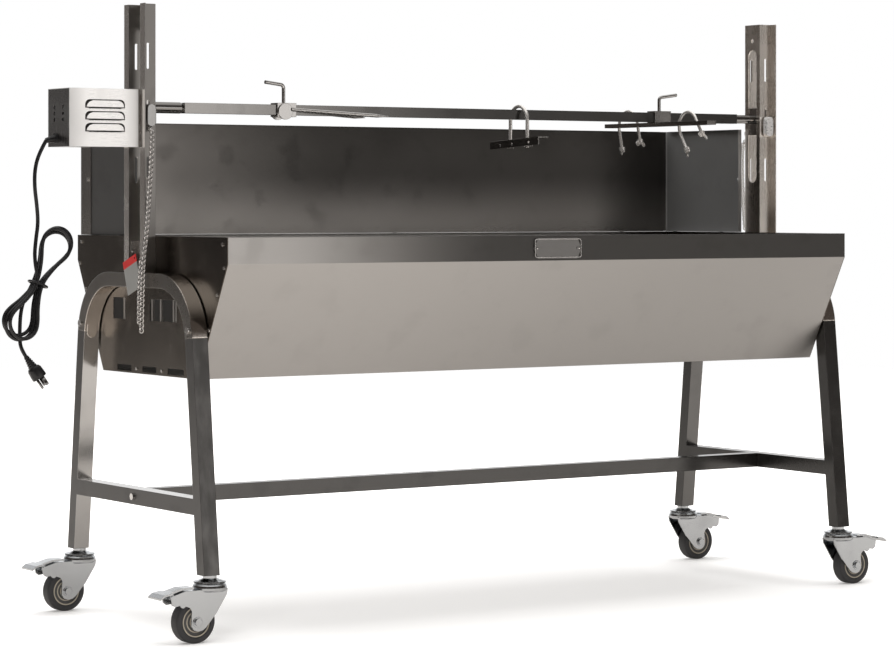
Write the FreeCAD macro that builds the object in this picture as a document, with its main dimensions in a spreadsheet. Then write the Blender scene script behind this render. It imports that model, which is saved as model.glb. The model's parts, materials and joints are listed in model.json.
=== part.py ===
import FreeCAD, Part
import math
import os
import re
import Sketcher

# Rotisserie spit roaster: a folded-sheet charcoal trough on two leg frames with casters, two slotted
# posts, a motor-driven square spit with its clamps, and a three-sided wind guard.
#
# Millimetres. X runs along the spit with the motor at -X, -Y is the open front, +Z is up.
# Sub-parts are drawn from the middle of the trough at floor level. The placement of each one then
# shifts it so that the origin is under the middle of the whole machine's box.

Vector = FreeCAD.Vector
X_AXIS, Y_AXIS, Z_AXIS = Vector(1, 0, 0), Vector(0, 1, 0), Vector(0, 0, 1)

doc = FreeCAD.newDocument("SpitRoaster")

# --------------------------------------------------------------------------------------------------
# Driving dimensions
# --------------------------------------------------------------------------------------------------

DIMENSIONS = {
    # trough
    "half_length": 694, "sheet_gauge": 1.5, "rim_half": 285, "rim_top": 694.5, "rim_low": 648,
    "floor_half": 180, "floor_low": 446.5, "rim_flange": 22, "window_low": 543, "window_high": 582,
    "vent_low": 450, "vent_high": 461, "grate_level": 500,
    # posts
    "post_half": 23.5, "post_depth": 30, "post_gauge": 2, "lip_width": 16, "post_top": 1109, "right_rise": 9,
    "web_slot_half": 13, "web_slot_low": 796, "web_slot_high": 1066, "flange_slot_half": 2.75,
    "flange_slot_length": 47, "flange_slot_drop": 194.5, "flange_slot_pitch": 101.5,
    # leg frames
    "tube_gap": 2, "tube_wide": 30.5, "tube_deep": 26, "tube_wall": 1.5, "arch_top": 629.5,
    "arch_radius": 122, "leg_foot": 114.5, "leg_spread": 261.5, "leg_lean": 6, "brace_low": 216,
    "brace_tall": 28,
    # wind guard
    "guard_gauge": 1.2, "guard_low": 695, "guard_high": 905, "guard_half": 689.2, "guard_back": 281,
    "guard_front": 28, "guard_flange": 18, "guard_wrap": 40,
    # casters
    "stem_out": 708.5, "wheel_radius": 37.5, "wheel_width": 26, "hub_radius": 26.5, "axle_radius": 4,
    "trail": 33, "swivel_radius": 29, "fork_gap": 15, "fork_gauge": 2.5, "pedal_reach": 107, "pedal_half": 23,
    # spit drive
    "spit_level": 925, "bar_side": 19, "bar_left": -627, "bar_right": 646, "stub_radius": 10.3,
    "journal_radius": 8.75, "shaft_radius": 9, "socket_end": -696.4, "run_gap": 0.05,
    "knob_level": 910, "knob_out": 709, "knob_screw": 2.5,
    "box_left": -864, "box_right": -728, "box_front": -23, "box_rear": 61, "box_low": 853,
    "box_high": 956, "box_gauge": 1.2,
    "idler_y": 18.4, "idler_z": 909.6, "rotor_y": 40.9, "rotor_z": 896.6,
    # clamps on the spit
    "fork_x": -416, "clamp_x": 454, "brace_x": 112, "sleeve_wall": 3, "slide_gap": 0.3,
    # whole machine
    "shift_x": 24.25, "shift_y": 1.25,
}

sizes = doc.addObject("Spreadsheet::Sheet", "Sizes")
for row, (alias, number) in enumerate(DIMENSIONS.items(), 1):
    sizes.set(f"A{row}", alias)
    sizes.set(f"B{row}", str(number))
    sizes.setAlias(f"B{row}", alias)
doc.recompute()

ALIAS = re.compile(r"\b(" + "|".join(DIMENSIONS) + r")\b")


def bound(formula):
    """The formula with each dimension's name pointing at its cell."""
    return ALIAS.sub(r"Sizes.\1", str(formula))


def size(formula):
    """The formula's present value."""
    return float(sizes.evalExpression(bound(formula)))


# --------------------------------------------------------------------------------------------------
# Building blocks
# --------------------------------------------------------------------------------------------------

nodes = {}
PLANES = {"x": "YZ_Plane", "y": "XZ_Plane", "z": "XY_Plane"}


def finish(shape_object, label, x="shift_x", y="shift_y", z="0"):
    """Registers a sub-part under its name and places it in the machine's frame."""
    shape_object.Label = label
    for axis, formula in (("x", x), ("y", y), ("z", z)):
        shape_object.setExpression(f"Placement.Base.{axis}", bound(formula))
    nodes[label] = shape_object
    return shape_object


def new_body(name):
    return doc.addObject("PartDesign::Body", name)


def fix_point(sketch, geometry, point, x, y):
    """Dimensions a sketch point from the sketch's origin."""
    for kind, formula in (("DistanceX", x), ("DistanceY", y)):
        index = sketch.addConstraint(Sketcher.Constraint(kind, -1, 1, geometry, point, size(formula)))
        sketch.setExpression(f"Constraints[{index}]", bound(formula))


def draw_polygon(sketch, points):
    first = sketch.GeometryCount
    corners = [Vector(size(x), size(y), 0) for x, y in points]
    count = len(points)
    for index in range(count):
        sketch.addGeometry(Part.LineSegment(corners[index], corners[(index + 1) % count]), False)
    for index in range(count):
        following = first + (index + 1) % count
        sketch.addConstraint(Sketcher.Constraint("Coincident", first + index, 2, following, 1))
        fix_point(sketch, first + index, 1, *points[index])


def draw_circle(sketch, x, y, radius):
    index = sketch.addGeometry(Part.Circle(Vector(size(x), size(y), 0), Z_AXIS, size(radius)), False)
    fix_point(sketch, index, 3, x, y)
    constraint = sketch.addConstraint(Sketcher.Constraint("Radius", index, size(radius)))
    sketch.setExpression(f"Constraints[{constraint}]", bound(radius))


def draw_slot(sketch, x, low, high, radius):
    """An upright round-ended slot; low and high are its ends."""
    mid, wide = size(x), size(radius)
    bottom, top = size(low) + wide, size(high) - wide
    right = sketch.addGeometry(Part.LineSegment(Vector(mid + wide, bottom, 0), Vector(mid + wide, top, 0)))
    upper = sketch.addGeometry(
        Part.ArcOfCircle(Part.Circle(Vector(mid, top, 0), Z_AXIS, wide), 0, math.pi))
    left = sketch.addGeometry(Part.LineSegment(Vector(mid - wide, top, 0), Vector(mid - wide, bottom, 0)))
    lower = sketch.addGeometry(
        Part.ArcOfCircle(Part.Circle(Vector(mid, bottom, 0), Z_AXIS, wide), math.pi, 2 * math.pi))
    for one, other in ((right, upper), (upper, left), (left, lower), (lower, right)):
        sketch.addConstraint(Sketcher.Constraint("Tangent", one, 2, other, 1))
    sketch.addConstraint(Sketcher.Constraint("Equal", upper, lower))
    sketch.addConstraint(Sketcher.Constraint("Vertical", right))
    fix_point(sketch, upper, 3, x, f"{high} - {radius}")
    level = sketch.addConstraint(Sketcher.Constraint("DistanceY", -1, 1, lower, 3, bottom))
    sketch.setExpression(f"Constraints[{level}]", bound(f"{low} + {radius}"))
    constraint = sketch.addConstraint(Sketcher.Constraint("Radius", upper, wide))
    sketch.setExpression(f"Constraints[{constraint}]", bound(radius))


def box_points(low_x, high_x, low_y, high_y):
    return [(low_x, low_y), (high_x, low_y), (high_x, high_y), (low_x, high_y)]


def extrude(body, axis, low, high, polygons=(), circles=(), slots=(), cut=False):
    """Adds or cuts a prism between two stations on an axis. Outlines are in (Y, Z), (X, Z) or (X, Y)."""
    number = len(body.Group)
    sketch = body.newObject("Sketcher::SketchObject", f"{body.Name}_outline_{number}")
    role = PLANES[axis]
    sketch.AttachmentSupport = [(next(o for o in body.Origin.OriginFeatures if o.Role == role), "")]
    sketch.MapMode = "FlatFace"
    station = f"-({high})" if axis == "y" else low
    sketch.setExpression("AttachmentOffset.Base.z", bound(station))
    for points in polygons:
        draw_polygon(sketch, points)
    for circle in circles:
        draw_circle(sketch, *circle)
    for slot in slots:
        draw_slot(sketch, *slot)
    kind = "PartDesign::Pocket" if cut else "PartDesign::Pad"
    before = body.Shape.Volume if cut else 0
    feature = body.newObject(kind, f"{body.Name}_prism_{number}")
    feature.Profile = sketch
    feature.setExpression("Length", bound(f"({high}) - ({low})"))
    feature.Reversed = cut
    doc.recompute()
    if cut and not body.Shape.Volume < before - 1e-3:
        raise RuntimeError(f"{feature.Name} cuts nothing")
    return feature


def primitive(kind, name, base, lengths, turn=None):
    item = doc.addObject(f"Part::{kind}", name)
    if turn:
        item.Placement = FreeCAD.Placement(Vector(), FreeCAD.Rotation(*turn))
    for axis, formula in zip("xyz", base):
        item.setExpression(f"Placement.Base.{axis}", bound(formula))
    for prop, formula in lengths.items():
        item.setExpression(prop, bound(formula))
    return item


def block(name, x, y, z):
    """A box given by its low and high formulas on each axis."""
    sides = zip(("Length", "Width", "Height"), (x, y, z))
    lengths = {prop: f"({high}) - ({low})" for prop, (low, high) in sides}
    return primitive("Box", name, (x[0], y[0], z[0]), lengths)


ROD_TURNS = {"x": (Y_AXIS, 90), "y": (X_AXIS, -90), "z": None}


def rod(name, axis, low, high, centre, radius):
    """A cylinder along an axis; centre holds its two other coordinates in X, Y, Z order."""
    base = list(centre)
    base.insert("xyz".index(axis), low)
    return primitive("Cylinder", name, base, {"Radius": radius, "Height": f"({high}) - ({low})"},
                     ROD_TURNS[axis])


def combine(kind, name, items):
    result = doc.addObject(f"Part::{kind}", name)
    setattr(result, "Links" if kind == "Compound" else "Shapes", items)
    return result


def fuse(name, items):
    return combine("MultiFuse", name, items)


def cut(name, base, tool):
    result = doc.addObject("Part::Cut", name)
    result.Base, result.Tool = base, tool
    return result


def group(name, items):
    """Separate pieces of one kind that share a node."""
    return combine("Compound", name, items)


def from_shape(name, shape):
    """A directly made shape. The compound keeps where the shape was built when its node is placed."""
    item = doc.addObject("Part::Feature", name)
    item.Shape = Part.makeCompound([shape])
    return item


def outward(sign, near, far):
    """A low-to-high pair on X for the left (-1) or right (+1) end."""
    return (near, far) if sign > 0 else (f"-({far})", f"-({near})")


ENDS = (("left", -1), ("right", 1))

# --------------------------------------------------------------------------------------------------
# Trough
# --------------------------------------------------------------------------------------------------

WALL_FOLD = "atan((rim_half - floor_half) / (rim_low - floor_low))"
RIM_KNEE = f"rim_low + sheet_gauge * tan({WALL_FOLD} / 2)"
FLOOR_KNEE = f"floor_half - sheet_gauge * tan((90 deg - {WALL_FOLD}) / 2)"


def mirrored_outline(right_half):
    """A closed outline from its right half, which runs from one end of the mirror line to the other."""
    return right_half + [(f"-({y})", z) for y, z in reversed(right_half)]


def make_hopper():
    """Front rim, front wall, floor, rear wall and rear rim: one folded sheet."""
    body = new_body("Hopper")
    outer = [("floor_half", "floor_low"), ("rim_half", "rim_low"), ("rim_half", "rim_top"),
             ("rim_half - rim_flange", "rim_top")]
    inner = [("rim_half - rim_flange", "rim_top - sheet_gauge"),
             ("rim_half - sheet_gauge", "rim_top - sheet_gauge"),
             ("rim_half - sheet_gauge", RIM_KNEE), (FLOOR_KNEE, "floor_low + sheet_gauge")]
    extrude(body, "x", "sheet_gauge - half_length", "half_length - sheet_gauge",
            [mirrored_outline(outer + inner)])
    finish(body, "hopper_shell")


def make_end_panel(side, sign):
    """Trapezoid end with its top flange, two air windows and three ash vents."""
    body = new_body(f"EndPanel{side.title()}")
    outline = mirrored_outline([("floor_half", "floor_low"), ("rim_half", "rim_low"),
                                ("rim_half", "rim_top")])
    extrude(body, "x", *outward(sign, "half_length - sheet_gauge", "half_length"), [outline])
    flange = box_points("rim_flange + 1 - rim_half", "rim_half - rim_flange - 1", "rim_top - sheet_gauge",
                        "rim_top")
    extrude(body, "x", *outward(sign, "half_length - rim_flange", "half_length"), [flange])
    openings = [("92", "140", "window_low", "window_high"), ("-102", "-2", "window_low", "window_high")]
    openings += [(str(low), str(high), "vent_low", "vent_high")
                 for low, high in ((69, 124), (-27, 26), (-128, -69))]
    extrude(body, "x", *outward(sign, "half_length - 2 * sheet_gauge", "half_length + 1"),
            [box_points(*opening) for opening in openings], cut=True)
    finish(body, f"end_panel_{side}")


def make_grate_hangers():
    """Two welded racks inside the ends: upright strips with a ledge for the grate."""
    racks = []
    for side, sign in ENDS:
        ledge = block(f"Ledge{side}", outward(sign, "half_length - 22", "half_length - sheet_gauge"),
                      ("-150", "150"), ("grate_level - 6", "grate_level - 3"))
        strips = [block(f"Strip{side}{index}",
                        outward(sign, "half_length - sheet_gauge - 4", "half_length - sheet_gauge"),
                        (f"{mid} - 2.5", f"{mid} + 2.5"), ("grate_level - 6", "605"))
                  for index, mid in enumerate((-98, -88, -40, -7, 100))]
        racks.append(fuse(f"Rack{side}", [ledge] + strips))
    finish(group("GrateHangers", racks), "grate_hangers")


def make_grate():
    """Charcoal grate: long rods on cross rods."""
    pitch, count = 27, 15
    rods = [rod(f"LongRod{index}", "x", "-(half_length - 10)", "half_length - 10",
                (f"{pitch * (index - count // 2)}", "grate_level"), "3") for index in range(count)]
    reach = f"{pitch * (count // 2) + 3}"
    rods += [rod(f"CrossRod{index}", "y", f"-{reach}", reach,
                 (f"{-640 + index * 160}", "grate_level - 6.5"), "4")
             for index in range(9)]
    finish(fuse("Grate", rods), "charcoal_grate")


def make_name_plate():
    """Blank badge with pointed ends, held by two rivets."""
    body = new_body("NamePlate")
    outline = mirrored_outline([("44", "652"), ("54", "671"), ("44", "690")])
    extrude(body, "y", "-rim_half - 1.5", "-rim_half", [outline])
    rivets = [rod(f"Rivet{index}", "y", "-rim_half - 2.5", "-rim_half - 1.5", (str(x), "671"), "3")
              for index, x in enumerate((-45, 45))]
    finish(group("Badge", [body] + rivets), "name_plate")


# --------------------------------------------------------------------------------------------------
# Wind guard
# --------------------------------------------------------------------------------------------------

def make_wind_guard():
    back = new_body("GuardBack")
    wrap = "guard_back - guard_wrap"
    inner = "guard_half - guard_gauge"
    outline = [(f"-{name}" if name == "guard_half" else f"-({name})", y) for name, y in (
        ("guard_half", wrap), ("guard_half", "guard_back"))]
    outline += [("guard_half", "guard_back"), ("guard_half", wrap), (inner, wrap),
                (inner, "guard_back - guard_gauge"),
                (f"-({inner})", "guard_back - guard_gauge"), (f"-({inner})", wrap)]
    extrude(back, "z", "guard_low", "guard_high", [outline])
    for low, high, depth in (("guard_low", "guard_low + guard_gauge", "guard_flange"),
                             ("guard_high - guard_gauge", "guard_high", "8")):
        flange = box_points("22 - guard_half", "guard_half - 22", f"guard_back - {depth}", "guard_back - 0.5")
        extrude(back, "z", low, high, [flange])
    finish(back, "windguard_back")
    for side, sign in ENDS:
        wing = new_body(f"GuardWing{side.title()}")
        near, far = "guard_half - 2 * guard_gauge", "guard_half - guard_gauge"
        rear = "guard_back - guard_gauge"
        extrude(wing, "x", *outward(sign, near, far),
                [box_points("guard_front", rear, "guard_low", "guard_high")])
        for low, high, depth in (("guard_low", "guard_low + guard_gauge", "guard_flange"),
                                 ("guard_high - guard_gauge", "guard_high", "8")):
            strip = box_points(*outward(sign, f"{far} - {depth}", far), "guard_front", "guard_back - 20")
            extrude(wing, "z", low, high, [strip])
        hem = box_points(*outward(sign, f"{far} - 8", far), "guard_front", "guard_front + guard_gauge")
        extrude(wing, "z", "guard_low", "guard_high", [hem])
        extrude(wing, "x", *outward(sign, "guard_half - 4", "guard_half + 1"), circles=[("37", "804", "3")],
                cut=True)
        finish(wing, f"windguard_{side}")


# --------------------------------------------------------------------------------------------------
# Posts
# --------------------------------------------------------------------------------------------------

def make_post(side, sign):
    """Hat-section post: web against the trough's end, open side outward, lips turned away."""
    body = new_body(f"Post{side.title()}")
    web, lip = "half_length", "half_length + post_depth"
    half = [("post_half", web), ("post_half", f"{lip} - post_gauge"),
            ("post_half + lip_width", f"{lip} - post_gauge"), ("post_half + lip_width", lip),
            ("post_half - post_gauge", lip), ("post_half - post_gauge", f"{web} + post_gauge")]
    outline = [(x if sign > 0 else f"-({x})", y) for y, x in mirrored_outline(half)]
    top = "post_top" if sign < 0 else "post_top + right_rise"
    extrude(body, "z", "arch_top", top, [outline])
    extrude(body, "x", *outward(sign, f"{web} - 1", f"{web} + post_gauge + 1"), circles=[("0", "1085", "4")],
            slots=[("0", "web_slot_low", "web_slot_high", "web_slot_half")], cut=True)
    centre = "knob_out" if sign > 0 else "-knob_out"
    slots = []
    for step in (-1, 0, 1):
        middle = f"{top} - flange_slot_drop + {step} * flange_slot_pitch"
        slots.append((centre, f"{middle} - flange_slot_length / 2", f"{middle} + flange_slot_length / 2",
                      "flange_slot_half"))
    extrude(body, "y", "-post_half - 1", "post_half + 1", slots=slots, cut=True)
    finish(body, f"post_{side}")


def make_post_brackets():
    """Angle brackets inside the foot of each post, one per flange."""
    brackets = []
    for side, sign in ENDS:
        for face, turn in (("front", -1), ("rear", 1)):
            inside = "post_half - post_gauge"
            web_leg = outward(turn, f"{inside} - 16", inside)
            flange_leg = outward(turn, f"{inside} - 2", inside)
            wall = "half_length + post_gauge"
            name = f"{side}{face}"
            brackets.append(fuse(f"Bracket{name}", [
                block(f"BracketWeb{name}", outward(sign, wall, f"{wall} + 2"), web_leg, ("648", "686")),
                block(f"BracketFlange{name}", outward(sign, wall, f"{wall} + 24"), flange_leg,
                      ("648", "686"))]))
    finish(group("PostBrackets", brackets), "post_brackets")


# --------------------------------------------------------------------------------------------------
# Leg frames
# --------------------------------------------------------------------------------------------------

TUBE_NEAR = "half_length + tube_gap"
TUBE_FAR = "half_length + tube_gap + tube_wide"
LEAN_RUN = "tan(leg_lean)"
ARCH_LEVEL = "arch_top - arch_radius"
LEG_REACH = "(leg_spread * cos(leg_lean) + leg_foot * sin(leg_lean))"
ARCH_SPREAD = f"(({LEG_REACH} - arch_radius - ({ARCH_LEVEL}) * sin(leg_lean)) / cos(leg_lean))"


def arch_solid(name, x, inset):
    """Flat top with two round shoulders that end where the leaning legs begin."""
    outer, inner = f"arch_radius - {inset}", f"arch_radius - tube_deep + {inset}"
    width = f"({x[1]}) - ({x[0]})"
    top = block(f"{name}Top", x, (f"-{ARCH_SPREAD}", ARCH_SPREAD),
                (f"arch_top - tube_deep + {inset}", f"arch_top - {inset}"))
    shoulders = []
    for face, turn in (("Front", -1), ("Rear", 1)):
        base = (x[0], f"{turn} * {ARCH_SPREAD}", ARCH_LEVEL)
        sector = primitive("Cylinder", f"{name}{face}Sector", base,
                           {"Radius": outer, "Height": width, "Angle": "90 - leg_lean"})
        bore = primitive("Cylinder", f"{name}{face}Bore", base, {"Radius": inner, "Height": width})
        upright = FreeCAD.Rotation(Y_AXIS, Z_AXIS, X_AXIS, "ZXY")
        start = size("leg_lean") if turn > 0 else 90
        spin = FreeCAD.Rotation(Z_AXIS, start)
        for item in (sector, bore):
            item.Placement = FreeCAD.Placement(item.Placement.Base, upright.multiply(spin))
            for axis, formula in zip("xyz", base):
                item.setExpression(f"Placement.Base.{axis}", bound(formula))
        shoulders.append(cut(f"{name}{face}Shoulder", sector, bore))
    return fuse(f"{name}Solid", [top] + shoulders)


def make_arch(side, sign):
    """Bent tube over the end of the trough, with a tongue on the inside of each leg."""
    name = f"Arch{side.title()}"
    skin = arch_solid(name, outward(sign, TUBE_NEAR, TUBE_FAR), "0")
    core = arch_solid(f"{name}Core", outward(sign, f"{TUBE_NEAR} + tube_wall", f"{TUBE_FAR} - tube_wall"),
                      "tube_wall")
    finish(cut(name, skin, core), f"arch_{side}")


def leg_outline(inset, below, above):
    """A leaning leg between its outer and inner faces, ending square to itself under the arch."""
    corners = []
    for depth, top in ((inset, "arch_radius"), (f"(tube_deep - {inset})", "(arch_radius - tube_deep)")):
        level = f"{ARCH_LEVEL} + {top} * sin(leg_lean) + {above}"
        face = f"leg_spread - {depth} / cos(leg_lean)"
        ends = [(f"{face} + {below} * {LEAN_RUN}", f"leg_foot - {below}"),
                (f"{face} - ({level} - leg_foot) * {LEAN_RUN}", level)]
        corners += ends if not corners else ends[::-1]
    return corners


def make_leg_frame(side, sign):
    """Two leaning tubes and their cross tube, welded."""
    body = new_body(f"LegFrame{side.title()}")
    frame_x = outward(sign, TUBE_NEAR, TUBE_FAR)
    core_x = outward(sign, f"{TUBE_NEAR} + tube_wall", f"{TUBE_FAR} - tube_wall")
    leg = leg_outline("0", "0", "0")
    extrude(body, "x", *frame_x, [leg])
    face = f"leg_spread - tube_deep / cos(leg_lean) - (brace_low + brace_tall / 2 - leg_foot) * {LEAN_RUN}"
    extrude(body, "x", *frame_x, [box_points(f"-({face}) - 1.2", f"{face} + 1.2", "brace_low",
                                             "brace_low + brace_tall")])
    extrude(body, "x", *frame_x, [[(f"-({y})", z) for y, z in leg]])
    cavity = leg_outline("tube_wall", "1", "1")
    for points in (cavity, [(f"-({y})", z) for y, z in cavity]):
        extrude(body, "x", *core_x, [points], cut=True)
    extrude(body, "x", *core_x, [box_points(f"-({face}) - 4", f"{face} + 4", "brace_low + tube_wall",
                                            "brace_low + brace_tall - tube_wall")], cut=True)
    finish(body, f"leg_frame_{side}")


def make_stretcher():
    body = new_body("Stretcher")
    half = "brace_tall / 2"
    extrude(body, "x", f"-({TUBE_NEAR})", TUBE_NEAR,
            [box_points(f"-{half}", half, "brace_low", "brace_low + brace_tall")])
    extrude(body, "x", f"-({TUBE_NEAR})", TUBE_NEAR,
            [box_points(f"tube_wall - {half}", f"{half} - tube_wall",
                        "brace_low + tube_wall", "brace_low + brace_tall - tube_wall")], cut=True)
    finish(body, "long_stretcher")


def screw_heads(name, places, radius, height):
    """Dome-less heads on the end faces: each place is (side sign, outward offset, y, z)."""
    return [rod(f"{name}{index}", "x",
                *outward(sign, f"half_length + {offset}", f"half_length + {offset} + {height}"),
                (str(y), str(z)), str(radius)) for index, (sign, offset, y, z) in enumerate(places)]


def make_fasteners():
    """Heads of the sheet screws and frame bolts, and the wind guard's standoffs."""
    corner_rows = ((268, 682), (274, 642), (250, 595))
    panel = [(sign, 0, turn * y, z) for _, sign in ENDS for turn in (-1, 1) for y, z in corner_rows]
    panel += [(sign, 0, y, 455) for _, sign in ENDS for y in (-48, 48)]
    panel += [(sign, 0, turn * 220.5, 533) for _, sign in ENDS for turn in (-1, 1)]
    heads = screw_heads("PanelScrew", panel, 3, 1.8)
    heads += [rod(f"GuardScrew{side}{z}", "x", *outward(sign, "guard_half", "guard_half + 2"),
                  ("251", str(z)), "3.5")
              for side, sign in ENDS for z in (798, 880)]
    heads += [rod(f"Standoff{x}", "z", "rim_top", "guard_low", (str(x), "272"), "4") for x in (-564, 0, 564)]
    heads += [rod(f"WingStandoff{side}{y}", "z", "rim_top", "guard_low",
                  (f"{sign} * (guard_half - 12)", str(y)), "4") for side, sign in ENDS for y in (80, 236)]
    finish(group("SheetFasteners", heads), "sheet_fasteners")
    frame = [(sign, 32.5, turn * 206, 533) for _, sign in ENDS for turn in (-1, 1)]
    frame += [(sign, 32.5, 0, 230) for _, sign in ENDS]
    bolts = screw_heads("FrameBolt", frame, 6, 4)
    inside = "post_half - post_gauge - 2"
    bolts += [rod(f"FootBolt{side}{face}", "y", *outward(turn, f"{inside} - 4", inside),
                  (f"{sign} * (half_length + 20)", "668"), "5") for side, sign in ENDS
              for face, turn in (("front", -1), ("rear", 1))]
    finish(group("FrameBolts", bolts), "frame_bolts")


# --------------------------------------------------------------------------------------------------
# Casters
# --------------------------------------------------------------------------------------------------

CASTER_X = "stem_out"
CASTER_Y = "(leg_spread - tube_deep / 2)"


def revolve(body, points):
    """A full turn about Z of an outline given as (radius, level)."""
    number = len(body.Group)
    sketch = body.newObject("Sketcher::SketchObject", f"{body.Name}_profile_{number}")
    sketch.AttachmentSupport = [(next(o for o in body.Origin.OriginFeatures if o.Role == "XZ_Plane"), "")]
    sketch.MapMode = "FlatFace"
    draw_polygon(sketch, points)
    feature = body.newObject("PartDesign::Revolution", f"{body.Name}_turn_{number}")
    feature.Profile = sketch
    feature.ReferenceAxis = (sketch, ["V_Axis"])
    feature.Angle = 360
    doc.recompute()
    return feature


def make_caster_stems():
    """The fixed part of each caster: threaded stem, collar and upper race."""
    stems = []
    for side, sign in ENDS:
        for face, turn in (("front", -1), ("rear", 1)):
            body = new_body(f"Stem{side}{face}")
            revolve(body, [("0", "88"), ("5", "88"), ("5", "101"), ("26", "101"), ("28.5", "102.5"),
                           ("28", "104.5"),
                           ("20", "106.5"), ("12", "109.5"), ("12", "leg_foot"), ("6", "leg_foot"),
                           ("6", "132"),
                           ("0", "132")])
            body.setExpression("Placement.Base.x", bound(f"{sign} * {CASTER_X}"))
            body.setExpression("Placement.Base.y", bound(f"{turn} * {CASTER_Y}"))
            stems.append(body)
    finish(group("CasterStems", stems), "caster_stems")


FORK_SIDE = [("-26", "92"), ("-24", "82"), ("-4", "51"), ("16", "28"), ("23", "23"), ("32", "21.5"),
             ("40", "24"), ("45", "31"), ("44", "57"), ("48", "63"), ("56", "66"), ("60", "63"), ("64", "64"),
             ("67", "68"), ("76", "66.5"), ("82", "71"), ("84", "84"), ("56", "92")]


def make_caster(label, sign, turn):
    """One total-lock caster; it trails outward from its stem."""
    place = (f"{sign} * {CASTER_X} + shift_x", f"{turn} * {CASTER_Y} + shift_y")
    facing = FreeCAD.Rotation(Z_AXIS, 0 if sign > 0 else 180)

    fork = new_body(f"Fork_{label}")
    revolve(fork, [("5 + run_gap", "89"), ("22", "89"), ("26", "87.5"), ("swivel_radius", "90"),
                   ("30", "94"), ("swivel_radius", "98"), ("27", "100.2"), ("24", "100.2"), ("22", "98"),
                   ("5 + run_gap", "98")])
    extrude(fork, "z", "89", "91.5", [box_points("22", "56", "-fork_gap", "fork_gap")])
    for low, high in (("fork_gap", "fork_gap + fork_gauge"), ("-fork_gap - fork_gauge", "-fork_gap")):
        extrude(fork, "y", low, high, [FORK_SIDE])
    extrude(fork, "y", "-fork_gap - fork_gauge - 1", "fork_gap + fork_gauge + 1",
            circles=[("trail", "wheel_radius", "axle_radius")], cut=True)
    cheek = "fork_gap + fork_gauge"
    axle = rod(f"Axle_{label}", "y", f"-({cheek})", cheek, ("trail", "wheel_radius"), "axle_radius")
    heads = []
    for face_name, face in (("Front", -1), ("Rear", 1)):
        for kind, thick, radius in (("Washer", 1.5, "9"), ("Head", 5, "6.5")):
            heads.append(rod(f"Axle{kind}{face_name}_{label}", "y",
                             *outward(face, cheek, f"{cheek} + {thick}"),
                             ("trail", "wheel_radius"), radius))
    whole = group(f"ForkSet_{label}", [fork, fuse(f"AxleBolt_{label}", [axle] + heads)])
    whole.Placement = FreeCAD.Placement(Vector(), facing)
    finish(whole, f"caster_fork_{label}", *place)

    hub = new_body(f"Hub_{label}")
    revolve(hub, [("axle_radius + run_gap", "-14.2"), ("9", "-14.2"), ("9", "-5"), ("21", "-5"),
                  ("22", "-10.5"),
                  ("hub_radius", "-10.5"), ("hub_radius", "10.5"), ("22", "10.5"), ("21", "5"), ("9", "5"),
                  ("9", "14.2"), ("axle_radius + run_gap", "14.2")])
    tyre = new_body(f"Tyre_{label}")
    revolve(tyre, [("hub_radius", "-11"), ("28.5", "-wheel_width / 2"), ("34", "-wheel_width / 2"),
                   ("36.8", "1.6 - wheel_width / 2"), ("wheel_radius", "4 - wheel_width / 2"),
                   ("wheel_radius", "wheel_width / 2 - 4"), ("36.8", "wheel_width / 2 - 1.6"),
                   ("34", "wheel_width / 2"), ("28.5", "wheel_width / 2"), ("hub_radius", "11")])
    wheel = group(f"Wheel_{label}", [hub, tyre])
    wheel.Placement = FreeCAD.Placement(Vector(), FreeCAD.Rotation(X_AXIS, 90))
    finish(wheel, f"caster_wheel_{label}", f"{place[0]} + {sign} * trail", place[1], "wheel_radius")

    pedal = new_body(f"Pedal_{label}")
    plate = [("38", "94"), ("58", "94"), ("78", "89"), ("98", "85.5"), ("pedal_reach", "80"),
             ("pedal_reach", "83"),
             ("99", "88.5"), ("79", "92"), ("60", "97"), ("38", "97")]
    extrude(pedal, "y", "-14", "14", [plate])
    tread = [("84", "88"), ("98", "85.5"), ("pedal_reach", "80"), ("pedal_reach", "83"), ("99", "88.5"),
             ("84", "91.2")]
    extrude(pedal, "y", "-pedal_half", "pedal_half", [tread])
    extrude(pedal, "y", "-9", "9", [[("61", "75"), ("71", "75"), ("76", "90"), ("56", "95")]])
    extrude(pedal, "y", "0.3 - fork_gap", "fork_gap - 0.3", circles=[("66", "78", "4")])
    pedal.Placement = FreeCAD.Placement(Vector(), facing)
    finish(pedal, f"caster_pedal_{label}", *place)


# --------------------------------------------------------------------------------------------------
# Lifting carriages and their clamp knobs
# --------------------------------------------------------------------------------------------------

def make_carriage_left():
    """Slide block inside the left post with the plate that carries the motor box."""
    body = new_body("CarriageLeft")
    cheek = "post_half - post_gauge - slide_gap"
    extrude(body, "x", "box_right + 2", "-(half_length + post_gauge + slide_gap)",
            [box_points(f"-({cheek})", cheek, "893", "948")])
    plate = box_points("box_front", "box_rear", "box_low", "box_high")
    extrude(body, "x", "box_right", "box_right + 2.5", [plate])
    extrude(body, "x", "box_right - 1", "-half_length",
            circles=[("0", "spit_level", "shaft_radius + run_gap")],
            cut=True)
    extrude(body, "y", f"-({cheek}) - 1", "-13",
            circles=[("-knob_out", "knob_level", "knob_screw + run_gap")],
            cut=True)
    bolts = [rod(f"BoxBolt{z}", "x", "box_right + 2.5", "box_right + 5", ("-17", str(z)), "4")
             for z in (866, 880)]
    finish(group("CarriageLeftSet", [body] + bolts), "carriage_left")


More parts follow.
